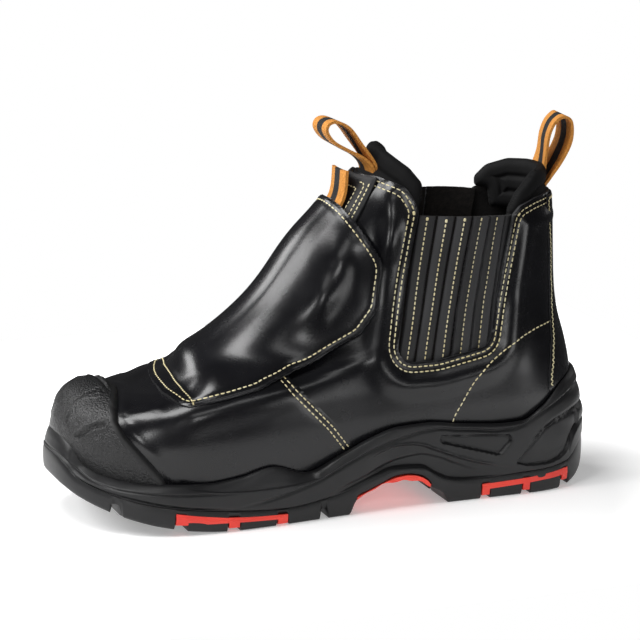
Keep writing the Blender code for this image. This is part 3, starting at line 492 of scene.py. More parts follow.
def row_of_stitches(run, length, gap):
    """Segments of a straight row of stitches along a run."""
    places, ways = even_run(run, length + gap)
    ahead = np.diff(places, axis=0)
    share = length / (length + gap)
    return [(places[k], places[k] + ahead[k] * share, ways[k]) for k in range(len(ahead))]


def zigzag_stitches(run, reach=1.8, pitch=1.3):
    """Segments of a zigzag row along a run."""
    places, ways = even_run(run, pitch)
    ahead = np.gradient(places, axis=0)
    side = unit(np.cross(ways, ahead))
    swing = places + side * (reach * (np.arange(len(places)) % 2 - 0.5))[:, None]
    return [(swing[k], swing[k + 1], ways[k]) for k in range(len(places) - 1)]


def add_node(tree, kind, values=None, **settings):
    """Node with some of its settings and socket values set."""
    made = tree.nodes.new(kind)
    for name, value in settings.items():
        setattr(made, name, value)
    for name, value in (values or {}).items():
        made.inputs[name].default_value = value
    return made


def noise_at(tree, scale, detail=2.0):
    """Noise over the object's own coordinates, in cycles per metre."""
    place = add_node(tree, "ShaderNodeTexCoord")
    noise = add_node(tree, "ShaderNodeTexNoise", {"Scale": scale, "Detail": detail})
    tree.links.new(place.outputs["Object"], noise.inputs["Vector"])
    return noise.outputs[0]


def bumped(tree, shader, heights):
    """Bump from rows of (height socket, depth in millimetres), the coarse ones first."""
    last = None
    for height, depth in heights:
        bump = add_node(tree, "ShaderNodeBump", {"Strength": 1.0, "Distance": depth * MM})
        tree.links.new(height, bump.inputs["Height"])
        if last:
            tree.links.new(last, bump.inputs["Normal"])
        last = bump.outputs["Normal"]
    if last:
        tree.links.new(last, shader.inputs["Normal"])
        tree.links.new(last, shader.inputs["Coat Normal"])


# Values of a noise between which its colour goes from dark to light
NOISE_MIDDLE = (0.3, 0.7)


def ramp(tree, source, dark, light):
    """Colour that goes from dark to light with a noise."""
    made = add_node(tree, "ShaderNodeValToRGB")
    for element, place, colour in zip(made.color_ramp.elements, NOISE_MIDDLE, (dark, light)):
        element.position = place
        element.color = (*colour, 1)
    tree.links.new(source, made.inputs[0])
    return made.outputs["Color"]


def remap(tree, source, low, high):
    """A source from 0 to 1 brought between two values."""
    made = add_node(tree, "ShaderNodeMapRange", {"To Min": low, "To Max": high})
    tree.links.new(source, made.inputs["Value"])
    return made.outputs["Result"]


def start_finish(name, **values):
    """Material with its shader's sockets set, its tree and its shader."""
    made = bpy.data.materials.new(name)
    made.use_nodes = True
    shader = made.node_tree.nodes["Principled BSDF"]
    for key, value in values.items():
        shader.inputs[key].default_value = value
    return made, made.node_tree, shader


ROUGH_DETAIL = 4


def mottled(name, dark, light, rough, bumps, colour_scale=30.0, rough_scale=55.0, **values):
    """Finish whose colour and roughness vary softly, with bumps of (scale, depth in millimetres, detail)."""
    made, tree, shader = start_finish(name, **values)
    colour = ramp(tree, noise_at(tree, colour_scale), dark, light)
    tree.links.new(colour, shader.inputs["Base Color"])
    roughness = remap(tree, noise_at(tree, rough_scale, ROUGH_DETAIL), *rough)
    tree.links.new(roughness, shader.inputs["Roughness"])
    bumped(tree, shader, [(noise_at(tree, scale, detail), depth) for scale, depth, detail in bumps])
    return made


LEATHER_FINISH = mottled("polished_leather", (0.0022, 0.0022, 0.003), (0.0045, 0.0045, 0.006), (0.21, 0.31),
                         ((28, 0.3, 1), (900, 0.035, 3), (2600, 0.012, 2)), rough_scale=150.0,
                         **{"Specular IOR Level": 0.42, "Coat Weight": 0.12, "Coat Roughness": 0.14})
CUT_EDGE_FINISH = mottled("leather_cut_edge", (0.010, 0.010, 0.011), (0.022, 0.022, 0.024), (0.6, 0.75),
                          ((1500, 0.08, 3),))
PALE_EDGE_FINISH = mottled("leather_pale_edge", (0.05, 0.05, 0.056), (0.13, 0.13, 0.145), (0.5, 0.65),
                           ((1500, 0.08, 3),))
CAP_EDGE_FINISH = mottled("smooth_rubber", (0.005, 0.005, 0.0055), (0.008, 0.008, 0.0085), (0.5, 0.62),
                          ((1500, 0.03, 2),))
LINING_FINISH = mottled("plush_lining", (0.0016, 0.0014, 0.0014), (0.006, 0.0052, 0.005), (0.9, 1.0),
                        ((700, 0.5, 3),),
                        **{"Specular IOR Level": 0.2, "Sheen Weight": 0.08, "Sheen Roughness": 0.5})
CAP_FINISH = mottled("grained_rubber", (0.0025, 0.0025, 0.003), (0.0055, 0.0055, 0.006), (0.2, 0.5),
                     ((420, 0.12, 1), (950, 0.7, 2), (2000, 0.25, 2)), rough_scale=1100.0)
PAD_FINISH = mottled("padded_fabric", (0.0016, 0.0016, 0.0018), (0.0034, 0.0034, 0.0038), (0.7, 0.85),
                     ((60, 0.8, 1), (2200, 0.09, 2)), **{"Specular IOR Level": 0.22})
ELASTIC_FINISH = mottled("ribbed_elastic", (0.020, 0.020, 0.0215), (0.030, 0.030, 0.032), (0.5, 0.62),
                         ((1300, 0.06, 2),))
# Darker copy of the elastic: painted shade for the rib halves that face away from the main lamps
PAINTED_SHADE_ELASTIC_FINISH = mottled("ribbed_elastic_painted_shade", (0.008, 0.008, 0.009), (0.014, 0.014, 0.0152),
                              (0.5, 0.62), ((1300, 0.06, 2),))
SOLE_FINISH = mottled("matte_sole", (0.0062, 0.0062, 0.0068), (0.0105, 0.0105, 0.0114), (0.38, 0.5),
                      ((1400, 0.06, 2), (60, 0.3, 1)), **{"Specular IOR Level": 0.4})
TREAD_FINISH = mottled("tread_rubber", (0.0045, 0.0045, 0.005), (0.0082, 0.0082, 0.009), (0.36, 0.48),
                       ((1100, 0.05, 2),), **{"Specular IOR Level": 0.4})
RED_FINISH = mottled("red_rubber", (0.72, 0.030, 0.018), (0.88, 0.055, 0.03), (0.38, 0.5),
                     ((900, 0.05, 2),))
WEAVE_FINISH = mottled("woven_lining", (0.0018, 0.0014, 0.0012), (0.0075, 0.0058, 0.005), (0.8, 0.95),
                       ((1200, 0.35, 2),), colour_scale=420.0, **{"Specular IOR Level": 0.2})
PLACKET_FINISH = mottled("placket_leather", (0.0032, 0.0032, 0.004), (0.006, 0.006, 0.007), (0.55, 0.7),
                         ((900, 0.08, 3),))
FELT_FINISH = mottled("insole_felt", (0.03, 0.03, 0.032), (0.06, 0.06, 0.062), (0.9, 1.0), ((1500, 0.25, 4),))
THREAD_FINISH = mottled("cream_thread", (0.68, 0.58, 0.30), (0.84, 0.77, 0.50), (0.6, 0.75),
                        ((3500, 0.12, 2),))

STRIPE_HALF = 3.7
STRIPE_BLUR = 0.25
STRIPE_COLOUR = (0.012, 0.012, 0.013, 1)
YARN_SCALE = 900.0
FUZZ_SCALE = 700.0
FUZZ_DEPTH = 0.15
WEAVE_DEPTH = 0.25


def webbing_finish(name, orange, deep_orange):
    """Woven webbing: orange with a black stripe down its middle, and ribs across it."""
    made, tree, shader = start_finish(name, Roughness=0.8)
    place = add_node(tree, "ShaderNodeTexCoord")
    split = add_node(tree, "ShaderNodeSeparateXYZ")
    tree.links.new(place.outputs["Object"], split.inputs[0])
    shifted = add_node(tree, "ShaderNodeMath", {1: ORIGIN[1] * MM}, operation="ADD")
    tree.links.new(split.outputs["Y"], shifted.inputs[0])
    spread = add_node(tree, "ShaderNodeMath", operation="ABSOLUTE")
    tree.links.new(shifted.outputs[0], spread.inputs[0])
    ends = {"From Min": (STRIPE_HALF - STRIPE_BLUR) * MM, "From Max": (STRIPE_HALF + STRIPE_BLUR) * MM}
    beside = add_node(tree, "ShaderNodeMapRange", ends)
    tree.links.new(spread.outputs[0], beside.inputs["Value"])
    yarn = ramp(tree, noise_at(tree, YARN_SCALE, 3), deep_orange, orange)
    colour = add_node(tree, "ShaderNodeMix", data_type="RGBA")
    colour.inputs[6].default_value = STRIPE_COLOUR
    tree.links.new(beside.outputs["Result"], colour.inputs[0])
    tree.links.new(yarn, colour.inputs[7])
    tree.links.new(colour.outputs[2], shader.inputs["Base Color"])
    weave = add_node(tree, "ShaderNodeTexVoronoi", {"Scale": YARN_SCALE})
    tree.links.new(place.outputs["Object"], weave.inputs["Vector"])
    bumped(tree, shader, [(noise_at(tree, FUZZ_SCALE), FUZZ_DEPTH), (weave.outputs["Distance"], WEAVE_DEPTH)])
    return made


WEBBING_FINISH = webbing_finish("orange_webbing", (0.72, 0.31, 0.055), (0.52, 0.20, 0.03))


def bead(distance, height, place, width):
    """Soft bead of some height and width at a distance."""
    return height * hump(distance - place, width)


def sewn_edge(distance, fall, fall_width, dip=0, dip_at=0, dip_width=1):
    """Depth of a sewn edge: its rounded rim, and the dip under its stitches."""
    return fall * (1 - smoothstep(0, fall_width, distance)) + bead(distance, dip, dip_at, dip_width)


def over_rim(places, more=0):
    """Which places lie over the sole's rim."""
    return places[:, 2] > along(RIM_TOP, places[:, 0]) + more


def between(places, low, high):
    """Which places lie between two heights."""
    return (places[:, 2] > low) & (places[:, 2] < high)


stitch_rows = []


def sew(field, values, skin, normals, faces, keep=None, pitch=(STITCH_LENGTH, STITCH_GAP)):
    """Adds a row of stitches on a skin wherever a field takes one of some values."""
    for value in values:
        for run in contours(field, skin, normals, faces, value):
            for part in trimmed(run, keep) if keep else [run]:
                stitch_rows.extend(row_of_stitches(part, *pitch))


# Relief of the quarters: what it has at the collar, and what is added under these heights
COLLAR_FADE = (146, 158)
COLLAR_FALL = (0.55, 1.4)
COLLAR_DIP = (0.4, 0.5)
COLLAR_ROLL = (0.5, 1.0)
# Places of the dip and the roll from the edge, and their widths
DIP_PLACE = (3.8, 3.8)
ROLL_PLACE = (12.5, 6)
# Ridge in front of the gore: its x at a height, its lean, form and ends
RIDGE_X = 29.5
RIDGE_Z = 158
RIDGE_LEAN = 0.08
RIDGE_HEIGHT = 2.0
RIDGE_WIDTH = 5
RIDGE_START = (128, 142)
RIDGE_END = (168, 174)


def upper_offsets(points, distance):
    """How far the outer skin of the quarters stands off the last: rolls beside the rows of stitches."""
    x = points[..., 0]
    z = points[..., 2]
    low = 1 - smoothstep(*COLLAR_FADE, z)
    edge = sewn_edge(distance, *COLLAR_FALL, COLLAR_DIP[0] + COLLAR_DIP[1] * low, *DIP_PLACE)
    roll = bead(distance, COLLAR_ROLL[0] + COLLAR_ROLL[1] * low, *ROLL_PLACE)
    ridge = bead(x - (z - RIDGE_Z) * RIDGE_LEAN, RIDGE_HEIGHT, RIDGE_X, RIDGE_WIDTH)
    ridge *= smoothstep(*RIDGE_START, z) * (1 - smoothstep(*RIDGE_END, z))
    return roll + ridge - edge


UPPER_TURNS = 384
UPPER_LEVELS = 122
UPPER_REACH = (0.1, 11.2)
COLLAR_ROWS = (2.4, 5.2)
turns = np.arange(UPPER_TURNS) / UPPER_TURNS
points, normals = last_grid(turns, np.linspace(*UPPER_REACH, UPPER_LEVELS))
inside, way = surface_distance(rounded(COLLAR_EDGE), points, normals)
moved, distance, faces = clip_grid(points, -inside, -way, closed=True)
upper_out = upper_offsets(moved, distance)
upper = shell_piece("quarters", moved, normals, upper_out, -LEATHER, faces,
                    [LEATHER_FINISH, LINING_FINISH, CUT_EDGE_FINISH])
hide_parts("upper")
upper_skin = lifted(moved, normals, upper_out)
sew(distance, COLLAR_ROWS, upper_skin, normals, faces)

COUNTER_SEAM = ((60, 20), (61.7, 46.2), (67, 54.8, 20), (73.5, 66.2, 20), (82, 74.5, 20), (92, 81.8, 20),
                (102, 87, 20), (113, 90.5, 20), (128.7, 92.5), (160, 92.5), (160, 20))
COUNTER_END = 127.5
from_counter = surface_distance(rounded(COUNTER_SEAM), moved, normals)[0]
sew(from_counter, (0,), upper_skin, normals, faces, lambda p: over_rim(p) & (p[:, 0] < COUNTER_END))

# Patches of the last: first and last turn, columns, lowest and highest level, rows
VAMP_PATCH = (-0.36, 0.36, 330, 0.1, 7.5, 110)
CAP_PATCH = (-0.15, 0.15, 300, 0.02, 4.9, 170)
FLAP_PATCH = (-0.30, 0.30, 300, 2.2, 11.2, 250)
STRIP_PATCH = (0.42, 0.58, 90, 0.6, 11.2, 130)
PLACKET_PATCH = (-0.09, 0.09, 90, 8.2, 11.0, 70)


def patch(first_turn, last_turn, columns, low, high, rows):
    """Grid of the last between two turns and two levels."""
    return last_grid(np.linspace(first_turn, last_turn, columns), np.linspace(low, high, rows))


def cut_patch(spread, outline, axes=(0, 2)):
    """Patch of the last trimmed at an outline: points, normals, distances from the edge and faces."""
    points, normals = patch(*spread)
    inside, way = surface_distance(outline, points, normals, axes)
    moved, distance, faces = clip_grid(points, inside, way)
    return moved, normals, distance, faces


def line_distance(points, line):
    """Distance of points from a line of straight runs."""
    best = np.full(points.shape[:-1], 1e9)
    for start, end in zip(line, line[1:]):
        run = end - start
        f = np.clip((points - start) @ run / (run @ run), 0, 1)
        best = np.minimum(best, np.linalg.norm(points - start - f[..., None] * run, axis=-1))
    return best


def nearer(first, second):
    """The lesser of two distances from outlines, with its way in."""
    lesser = second[0] < first[0]
    return np.where(lesser, second[0], first[0]), np.where(lesser[..., None], second[1], first[1])


# Rear edge of the cap, from the side and from above
CAP_SIDE = ((-96, 12), (-98.2, 24.7), (-101.7, 31.3, 20), (-110, 41.6, 14), (-118.6, 52, 8), (-121, 58, 3),
            (-120, 62, 2), (-117.5, 64, 2), (-104, 65.6), (-100, 90), (-165, 90), (-165, 12))
CAP_TOP = ((-165, -70), (-90, -70), (-90, -37), (-108, -36), (-117.5, -32.5, 3), (-120.9, -28.7, 3),
           (-118.9, -19.9, 20), (-114.5, -6, 20), (-111.4, 6, 12), (-111.6, 13, 12), (-114.5, 23, 20),
           (-118.5, 32, 8), (-120.5, 36.5, 3), (-117, 39.5, 3), (-108, 41), (-90, 42), (-90, 80), (-165, 80))
# The outline from above counts over this height only, and is moved out of the way below it
CAP_TOP_OVER = (42, 50)
CAP_TOP_AWAY = 60


def cap_distance(points, normals):
    """Distance of places on the last from the cap's rear edge, positive under the cap, and the way in."""
    top, top_way = surface_distance(rounded(CAP_TOP), points, normals, axes=(0, 1))
    top = top + CAP_TOP_AWAY * (1 - smoothstep(*CAP_TOP_OVER, points[..., 2]))
    return nearer(surface_distance(rounded(CAP_SIDE), points, normals), (top, top_way))


VAMP_LIFT = 0.9
VAMP_FOOT = -0.1
VAMP_SEWN = (0.25, 1.2, 0.25, 3.6, 2.6)
VAMP_ROWS = (2.2, 4.8)
VAMP_SEAM_FRONT = -44
VAMP_SEAM_TOP = 88
# Bead beside the cap: height, distance from the cap, width
VAMP_BEAD = (0.5, 3.4, 2.4)
# Swell under the flap: height, reach from the flap's edge, and its front and rear ends
SWELL_HEIGHT = 1.7
SWELL_REACH = (-16, 1)
SWELL_FRONT = (-100, -84)
SWELL_REAR = (14, 2)
moved, normals, distance, faces = cut_patch(VAMP_PATCH, rounded(VAMP_EDGE))
x = moved[..., 0]
from_cap = -cap_distance(moved, normals)[0]
from_flap = surface_distance(rounded(FLAP_EDGE), moved, normals)[0]
swell = smoothstep(*SWELL_REACH, from_flap) * smoothstep(*SWELL_FRONT, x) * smoothstep(*SWELL_REAR, x)
vamp_out = VAMP_LIFT - sewn_edge(distance, *VAMP_SEWN) + bead(from_cap, *VAMP_BEAD) + SWELL_HEIGHT * swell
vamp = shell_piece("vamp", moved, normals, vamp_out, VAMP_FOOT, faces,
                   [LEATHER_FINISH, LEATHER_FINISH, PALE_EDGE_FINISH])
sew(distance, VAMP_ROWS, lifted(moved, normals, vamp_out), normals, faces,
    lambda p: over_rim(p) & (p[:, 0] > VAMP_SEAM_FRONT) & (p[:, 2] < VAMP_SEAM_TOP))

CAP_THICKNESS = 4.3
CAP_RIM = 0.7
CAP_FOOT = 0.2
CAP_EDGE_WIDTH = 3.4
# Width of the cap's smooth rim, with no grain
CAP_SMOOTH_RIM = 2.9
CAP_MIDDLE_Y = 9.0
# Crown of the cap: height, place and width across, then where it rises, and how it dies out at its ends
CROWN = (4.6, 9, 25)
CROWN_RISE = (48, 61)
CROWN_EDGE = (0, 6)
CROWN_REAR = (-108, -122)
CROWN_REAR_SHARE = 0.25
CROWN_NOSE = (-131, -141)
CROWN_NOSE_LOSS = 0.55
# The cap is a little thinner low at the nose
NOSE_THINNER = 0.3
NOSE_HEIGHTS = (60, 50)
NOSE_REACH = (-128, -140)
# Pressed line on each side of the crown, and the grooves with their lips: depth or height, place, width
CAP_LINE = (0.55, 11, 1.3)
CAP_LINE_EDGE = (2, 6)
CAP_GROOVE = (1.2, 0, 1.0)
CAP_GROOVE_LIP = (0.5, 2.2, 1.1)
CAP_GROOVES = (((-143.1, -6.4, 54.9), (-137.7, -3.7, 62.2), (-132.2, -4.6, 65.4), (-126.0, -8.7, 67.4)),
               ((-140.4, -17.4, 49.6), (-133.3, -24.1, 56.1), (-129.1, -27.7, 57.7)))
points, normals = patch(*CAP_PATCH)
inside, way = cap_distance(points, normals)
moved, distance, faces = clip_grid(points, inside, way)
x = moved[..., 0]
z = moved[..., 2]
across = moved[..., 1] - CAP_MIDDLE_Y
edge_drop = np.clip(1 - distance / CAP_EDGE_WIDTH, 0, 1)
cap_out = CAP_THICKNESS - (CAP_THICKNESS - CAP_RIM) * (1 - np.sqrt(1 - edge_drop ** 2))
crown = smoothstep(*CROWN_RISE, z) * (1 - CROWN_NOSE_LOSS * smoothstep(*CROWN_NOSE, x))
crown *= CROWN_REAR_SHARE + (1 - CROWN_REAR_SHARE) * smoothstep(*CROWN_REAR, x)
cap_out += bead(across, *CROWN) * crown * smoothstep(*CROWN_EDGE, distance)
cap_out -= NOSE_THINNER * smoothstep(*NOSE_HEIGHTS, z) * smoothstep(*NOSE_REACH, x)
skin_now = lifted(moved, normals, cap_out)
for side in (1, -1):
    cap_out -= bead(across * side, *CAP_LINE) * crown * smoothstep(*CAP_LINE_EDGE, distance)
    for groove in CAP_GROOVES:
        line = np.array(groove, float)
        line[:, 1] = CAP_MIDDLE_Y + (line[:, 1] - CAP_MIDDLE_Y) * side
        far = line_distance(skin_now, line)
        cap_out += bead(far, *CAP_GROOVE_LIP) - bead(far, *CAP_GROOVE)
cap = shell_piece("scuff_cap", moved, normals, cap_out, CAP_FOOT, faces,
                  [CAP_FINISH, CAP_FINISH, CAP_EDGE_FINISH],
                  face_slots=slots_by(distance, faces, CAP_SMOOTH_RIM, 2))
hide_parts("toe_cap")

# Lift of the flap along the boot, counted from its hem, and how much of it is left at turns from the middle
FLAP_LIFT = ((9, 9.6), (13, 10.0), (20, 9.6), (34, 8.4), (54, 8.8), (64, 10.4), (72, 12.4), (79, 12.8),
             (86, 10.6), (94, 8.2))
FLAP_SIDE_LIFT = ((0, 1), (0.05, 0.98), (0.09, 0.8), (0.13, 0.5), (0.18, 0.32), (0.27, 0.25), (0.5, 0.25))
FLAP_LEAST_LIFT = 0.8
FLAP_HEM_LIFT = 1.5
FLAP_STEP = (2.0, 11.5)
# The lift is counted from this x where the hem's own curve has died out
HEM_X = -84
HEM_FADE = (10, 40)
# Rounded section of the flap across the boot: x, half width, its height, height of the crown, roundness
FLAP_SECTIONS = ((-84, 46, 62, 80.5, 1.9), (-72, 46.5, 63, 87, 1.9), (-60, 46.5, 64.5, 95.5, 1.85),
                 (-45, 45.5, 67, 108.5, 1.75), (-30, 43, 71, 124, 1.65), (-10, 40, 77, 149, 1.5),
                 (5, 39, 86, 168, 1.35))
FLAP_MIDDLE_Y = 1.0
SECTION_FADE = (12, -18)
SECTION_BLEND = 1.6
SECTION_SINK = 0.4
# Near its lower edge the flap lies on the boot: lift at the edge and its slope, and the heights it starts at
EDGE_LIFT = 1.6
EDGE_SLOPE = 0.42
EDGE_BLEND = 1.0
EDGE_HEIGHTS = (104, 92)
# Rounds in which the flap is evened, and the share: everywhere, then added behind these reaches from the hem
EVEN_ROUNDS = 260
EVEN_SHARE = 0.06
EVEN_STEPS = ((0.2, 2, 7), (0.74, 12, 24))
# Taut part of the flap's sides, evened further: in x, from the hem, from the edge, in turns
TAUT_ROUNDS = 900
TAUT_X = (-6, -26)
TAUT_FROM_HEM = (16, 30)
TAUT_FROM_EDGE = (2, 12)
TAUT_TURNS = (0.02, 0.06)
# Folds of the flap: points of the line (x, y, z), height and width of the ridge, both in millimetres
FLAP_FOLDS = (
    (((-0.5, -23.6, 146), (0.6, -28.8, 135), (4, -31, 124)), 1.6, 6.4),
    (((-3, -30.4, 127), (-10.5, -32, 114.7), (-21, -31.6, 101)), 2.4, 8.2),
    (((1, -31.5, 124), (-3.3, -31.9, 112.5), (-9, -32.4, 103)), -0.5, 6.5),
    (((6, -27, 141), (8, -31, 126), (8, -32, 114)), -0.8, 6.4),
)
FOLD_EDGE = (0, 7)
FOLDS_INNER_SIDE = 0.7
FOLD_KNOTS = 25
FLAP_SEWN = (0.45, 1.2, 0.25, 3, 1.6)
FLAP_ROW = 3.0
# Steps of the search for the flap's section: rounds, trial step, least slope, longest step, greatest lift
SEARCH_ROUNDS = 8
SEARCH_TRIAL = 0.3
SEARCH_SLOPE = 0.004
SEARCH_STEP = 3
SEARCH_LIFT = 14


def section_lift(points, normals, lift):
    """Lift along the normals at which points meet the flap's rounded section."""
    rows = np.array(FLAP_SECTIONS, float)

    def outside(height):
        place = lifted(points, normals, height)
        half, foot, crown, power = (np.interp(place[..., 0], rows[:, 0], rows[:, k]) for k in range(1, 5))
        wide = np.abs(place[..., 1] - FLAP_MIDDLE_Y) / half
        tall = np.maximum(place[..., 2] - foot, 0) / (crown - foot)
        return wide ** power + tall ** power - 1

    for _ in range(SEARCH_ROUNDS):
        now = outside(lift)
        slope = np.maximum((outside(lift + SEARCH_TRIAL) - now) / SEARCH_TRIAL, SEARCH_SLOPE)
        lift = np.clip(lift - np.clip(now / slope, -SEARCH_STEP, SEARCH_STEP), 0, SEARCH_LIFT)
    return lift


def evened(field, share, rounds):
    """A grid of points without its small waves: each moves by a share to the mean of its neighbours."""
    for _ in range(rounds):
        wide = np.pad(field, ((1, 1), (1, 1), (0, 0)), mode="edge")
        mean = 0.25 * (wide[:-2, 1:-1] + wide[2:, 1:-1] + wide[1:-1, :-2] + wide[1:-1, 2:])
        field = field + 0.5 * share[..., None] * (mean - field)
    return field


def soft_ridge(points, line, width):
    """Ridge of height 1 along a smooth line, fading out softly to both its ends."""
    where = np.linspace(0, len(line) - 1, FOLD_KNOTS)
    knots = np.stack([catmull(line[:, k], where) for k in range(3)], 1)
    spacing = np.linalg.norm(np.diff(knots, axis=0), axis=1).mean()
    weights = np.sin(np.linspace(0, np.pi, FOLD_KNOTS)) * spacing / (width * math.sqrt(math.pi))
    ridge = np.zeros(points.shape[:-1])
    for knot, weight in zip(knots, weights):
        ridge += weight * hump(np.linalg.norm(points - knot, axis=-1), width)
    return ridge


def soft_most(first, second, soft):
    """The greater of two fields, with a soft change from one to the other."""
    return 0.5 * (first + second + np.sqrt((first - second) ** 2 + soft ** 2))


points, normals = patch(*FLAP_PATCH)
front = np.array([(x, y) for y, x in FLAP_FRONT] + [(90, 60), (90, -60)], float)
inside, way = nearer(surface_distance(rounded(FLAP_EDGE), points, normals),
                     surface_distance(front, points, normals, axes=(0, 1)))
moved, distance, faces = clip_grid(points, inside, way)
x = moved[..., 0]
from_middle = np.abs(np.linspace(*FLAP_PATCH[:3]))[None, :]
hem = along(FLAP_HEM, moved[..., 1])
from_hem = x - hem
flap_run = from_hem + (hem - HEM_X) * smoothstep(*HEM_FADE, from_hem)
lift = along(FLAP_LIFT, flap_run) * along(FLAP_SIDE_LIFT, from_middle)
full = section_lift(moved, normals, lift) - LEATHER
lift = soft_most(lift, full * smoothstep(*SECTION_FADE, x), SECTION_BLEND) - SECTION_SINK
too_high = lift - EDGE_LIFT - EDGE_SLOPE * np.maximum(distance, 0)
lift -= smoothstep(*EDGE_HEIGHTS, moved[..., 2]) * (soft_most(too_high, 0, EDGE_BLEND) - 0.5 * EDGE_BLEND)
free_lift = np.maximum(FLAP_LEAST_LIFT, lift) - FLAP_HEM_LIFT
form = lifted(moved, normals, FLAP_HEM_LIFT + free_lift * smoothstep(*FLAP_STEP, from_hem))
softness = EVEN_SHARE + sum(share * smoothstep(low, high, from_hem) for share, low, high in EVEN_STEPS)
form = evened(form, softness, EVEN_ROUNDS)
taut = smoothstep(*TAUT_X, x) * smoothstep(*TAUT_FROM_HEM, from_hem)
taut *= smoothstep(*TAUT_FROM_EDGE, distance) * smoothstep(*TAUT_TURNS, from_middle)
form = evened(form, taut, TAUT_ROUNDS)
form_normals = unit(np.cross(np.gradient(form, axis=1), np.gradient(form, axis=0)))
skin_now = lifted(form, form_normals, LEATHER)
folds = np.zeros(distance.shape)
for line, height, width in FLAP_FOLDS:
    for side, share in ((1, 1.0), (-1, FOLDS_INNER_SIDE)):
        mirrored = np.array(line, float) * (1, side, 1)
        folds += share * height * soft_ridge(skin_now, mirrored, width)
flap_in = folds * smoothstep(*FOLD_EDGE, distance)
flap_out = flap_in + LEATHER - sewn_edge(distance, *FLAP_SEWN)
flap = shell_piece("instep_flap", form, form_normals, flap_out, flap_in, faces,
                   [LEATHER_FINISH, CUT_EDGE_FINISH, CUT_EDGE_FINISH])
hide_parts("metatarsal_flap")
flap_skin = lifted(form, form_normals, flap_out)
sew(distance, (FLAP_ROW,), flap_skin, form_normals, faces)
sew(from_hem, (0,), flap_skin, form_normals, faces, pitch=HEM_PITCH)

# First row of stitches on the gore, at its top and its foot: x, height, spacing of the ribs
GORE_TOP = (48.1, 154.5, 10.0)
GORE_FOOT = (35.8, 79.8, 10.3)
GORE_TURNS = (0.10, 0.42)
GORE_GRID = (300, 2.6, 10.0, 110)
GORE_LINES = 5
GORE_SEWN = (79, 154.8)
GORE_FRONT = -2.9
GORE_BACK = -4.1
# Ribs: slope, height of a roof, ribs that are roofs, creases and dips, and where the first lit side starts
RIB_SLOPE = 0.22
RIB_ROOF = 2.4
ROOF_RIBS = 2.5
RIB_CREASE = (1.7, 0, 0.55)
RIB_DIP = (0.35, 0, 0.7)
FIRST_LIT = 0.4
# Slot of the painted shade copy of the elastic
PAINTED_SHADE_SLOT = 3
# Each gore: side, and how far its top is drawn down
GORES = (("gore_outer", 1, 0.0), ("gore_inner", -1, 4.3))
GORE_DRAWN_OVER = (110, 150)
for name, side, drawn_down in GORES:
    points, normals = patch(GORE_TURNS[0] * side, GORE_TURNS[1] * side, *GORE_GRID)
    points = points[:, ::side]
    normals = normals[:, ::side]
    drawn = points.copy()
    drawn[..., 2] -= drawn_down * smoothstep(*GORE_DRAWN_OVER, points[..., 2])
    inside, way = surface_distance(rounded(GORE_EDGE), drawn, normals)
    moved, distance, faces = clip_grid(points, inside, way)
    part_up = (moved[..., 2] - GORE_FOOT[1]) / (GORE_TOP[1] - GORE_FOOT[1])
    first_line = GORE_FOOT[0] + (GORE_TOP[0] - GORE_FOOT[0]) * part_up
    spacing = GORE_FOOT[2] + (GORE_TOP[2] - GORE_FOOT[2]) * part_up
    rib = (moved[..., 0] - first_line) / spacing
    from_stitch = np.abs(rib - np.round(rib)) * spacing
    from_crease = np.abs(rib - np.floor(rib) - 0.5) * spacing
    roof = np.round(rib) < ROOF_RIBS
    tilt = RIB_SLOPE * np.where(roof, RIB_ROOF - from_stitch, from_stitch)
    gore_out = GORE_FRONT + tilt - bead(from_crease, *RIB_CREASE) - bead(from_stitch, *RIB_DIP)
    # Painted shade: rib halves that are not lit get the darker copy of the elastic, the lit halves keep the
    # plain one
    lit_half = np.where(roof, (rib < np.round(rib)) & (rib > FIRST_LIT), rib > np.round(rib))
    made = shell_piece(name + "_ribs", moved, normals, gore_out, GORE_BACK, faces,
                       [ELASTIC_FINISH, WEAVE_FINISH, LINING_FINISH, PAINTED_SHADE_ELASTIC_FINISH],
                       face_slots=slots_by(lit_half, faces, 0.5, PAINTED_SHADE_SLOT))
    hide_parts(name)
    sew(rib, range(GORE_LINES), lifted(moved, normals, gore_out), normals, faces,
        lambda p: between(p, *GORE_SEWN), FINE_PITCH)

PAD_FRONT_EDGE = ((-20, 147), (33, 147, 3), (36.6, 157.4, 1), (42.6, 158.2, 2), (45.6, 165, 4),
                  (45.6, 174, 6), (39, 182.2, 12), (20, 196), (-20, 204))
PAD_REAR_EDGE = ((160, 147), (105, 147, 3), (104.2, 157.8, 1), (97.2, 158.4, 2), (97.4, 164, 6),
                 (103.5, 171.5, 8), (115, 175.6, 12), (131, 176), (160, 181))
PAD_GRID = (190, 8.8, 12.0, 80)
PAD_MIDDLE = -5.9
PAD_HALF = 3.6
PAD_ROLL = 5.0
# Dip of the pad's seam: share of its thickness, distance from its edge, width
PAD_SEAM = (0.35, 10, 1.6)
# Distance from the middle of the boot at which a pad's side is fully outer or inner, and heights of its top
PAD_SIDE_Y = 26
PAD_TOP = (160, 172)
# The rear pad's outer end lies lower
PAD_END_DROP = 7
PAD_END_FRONT = (80, 90)
PAD_END_REAR = (122, 98)
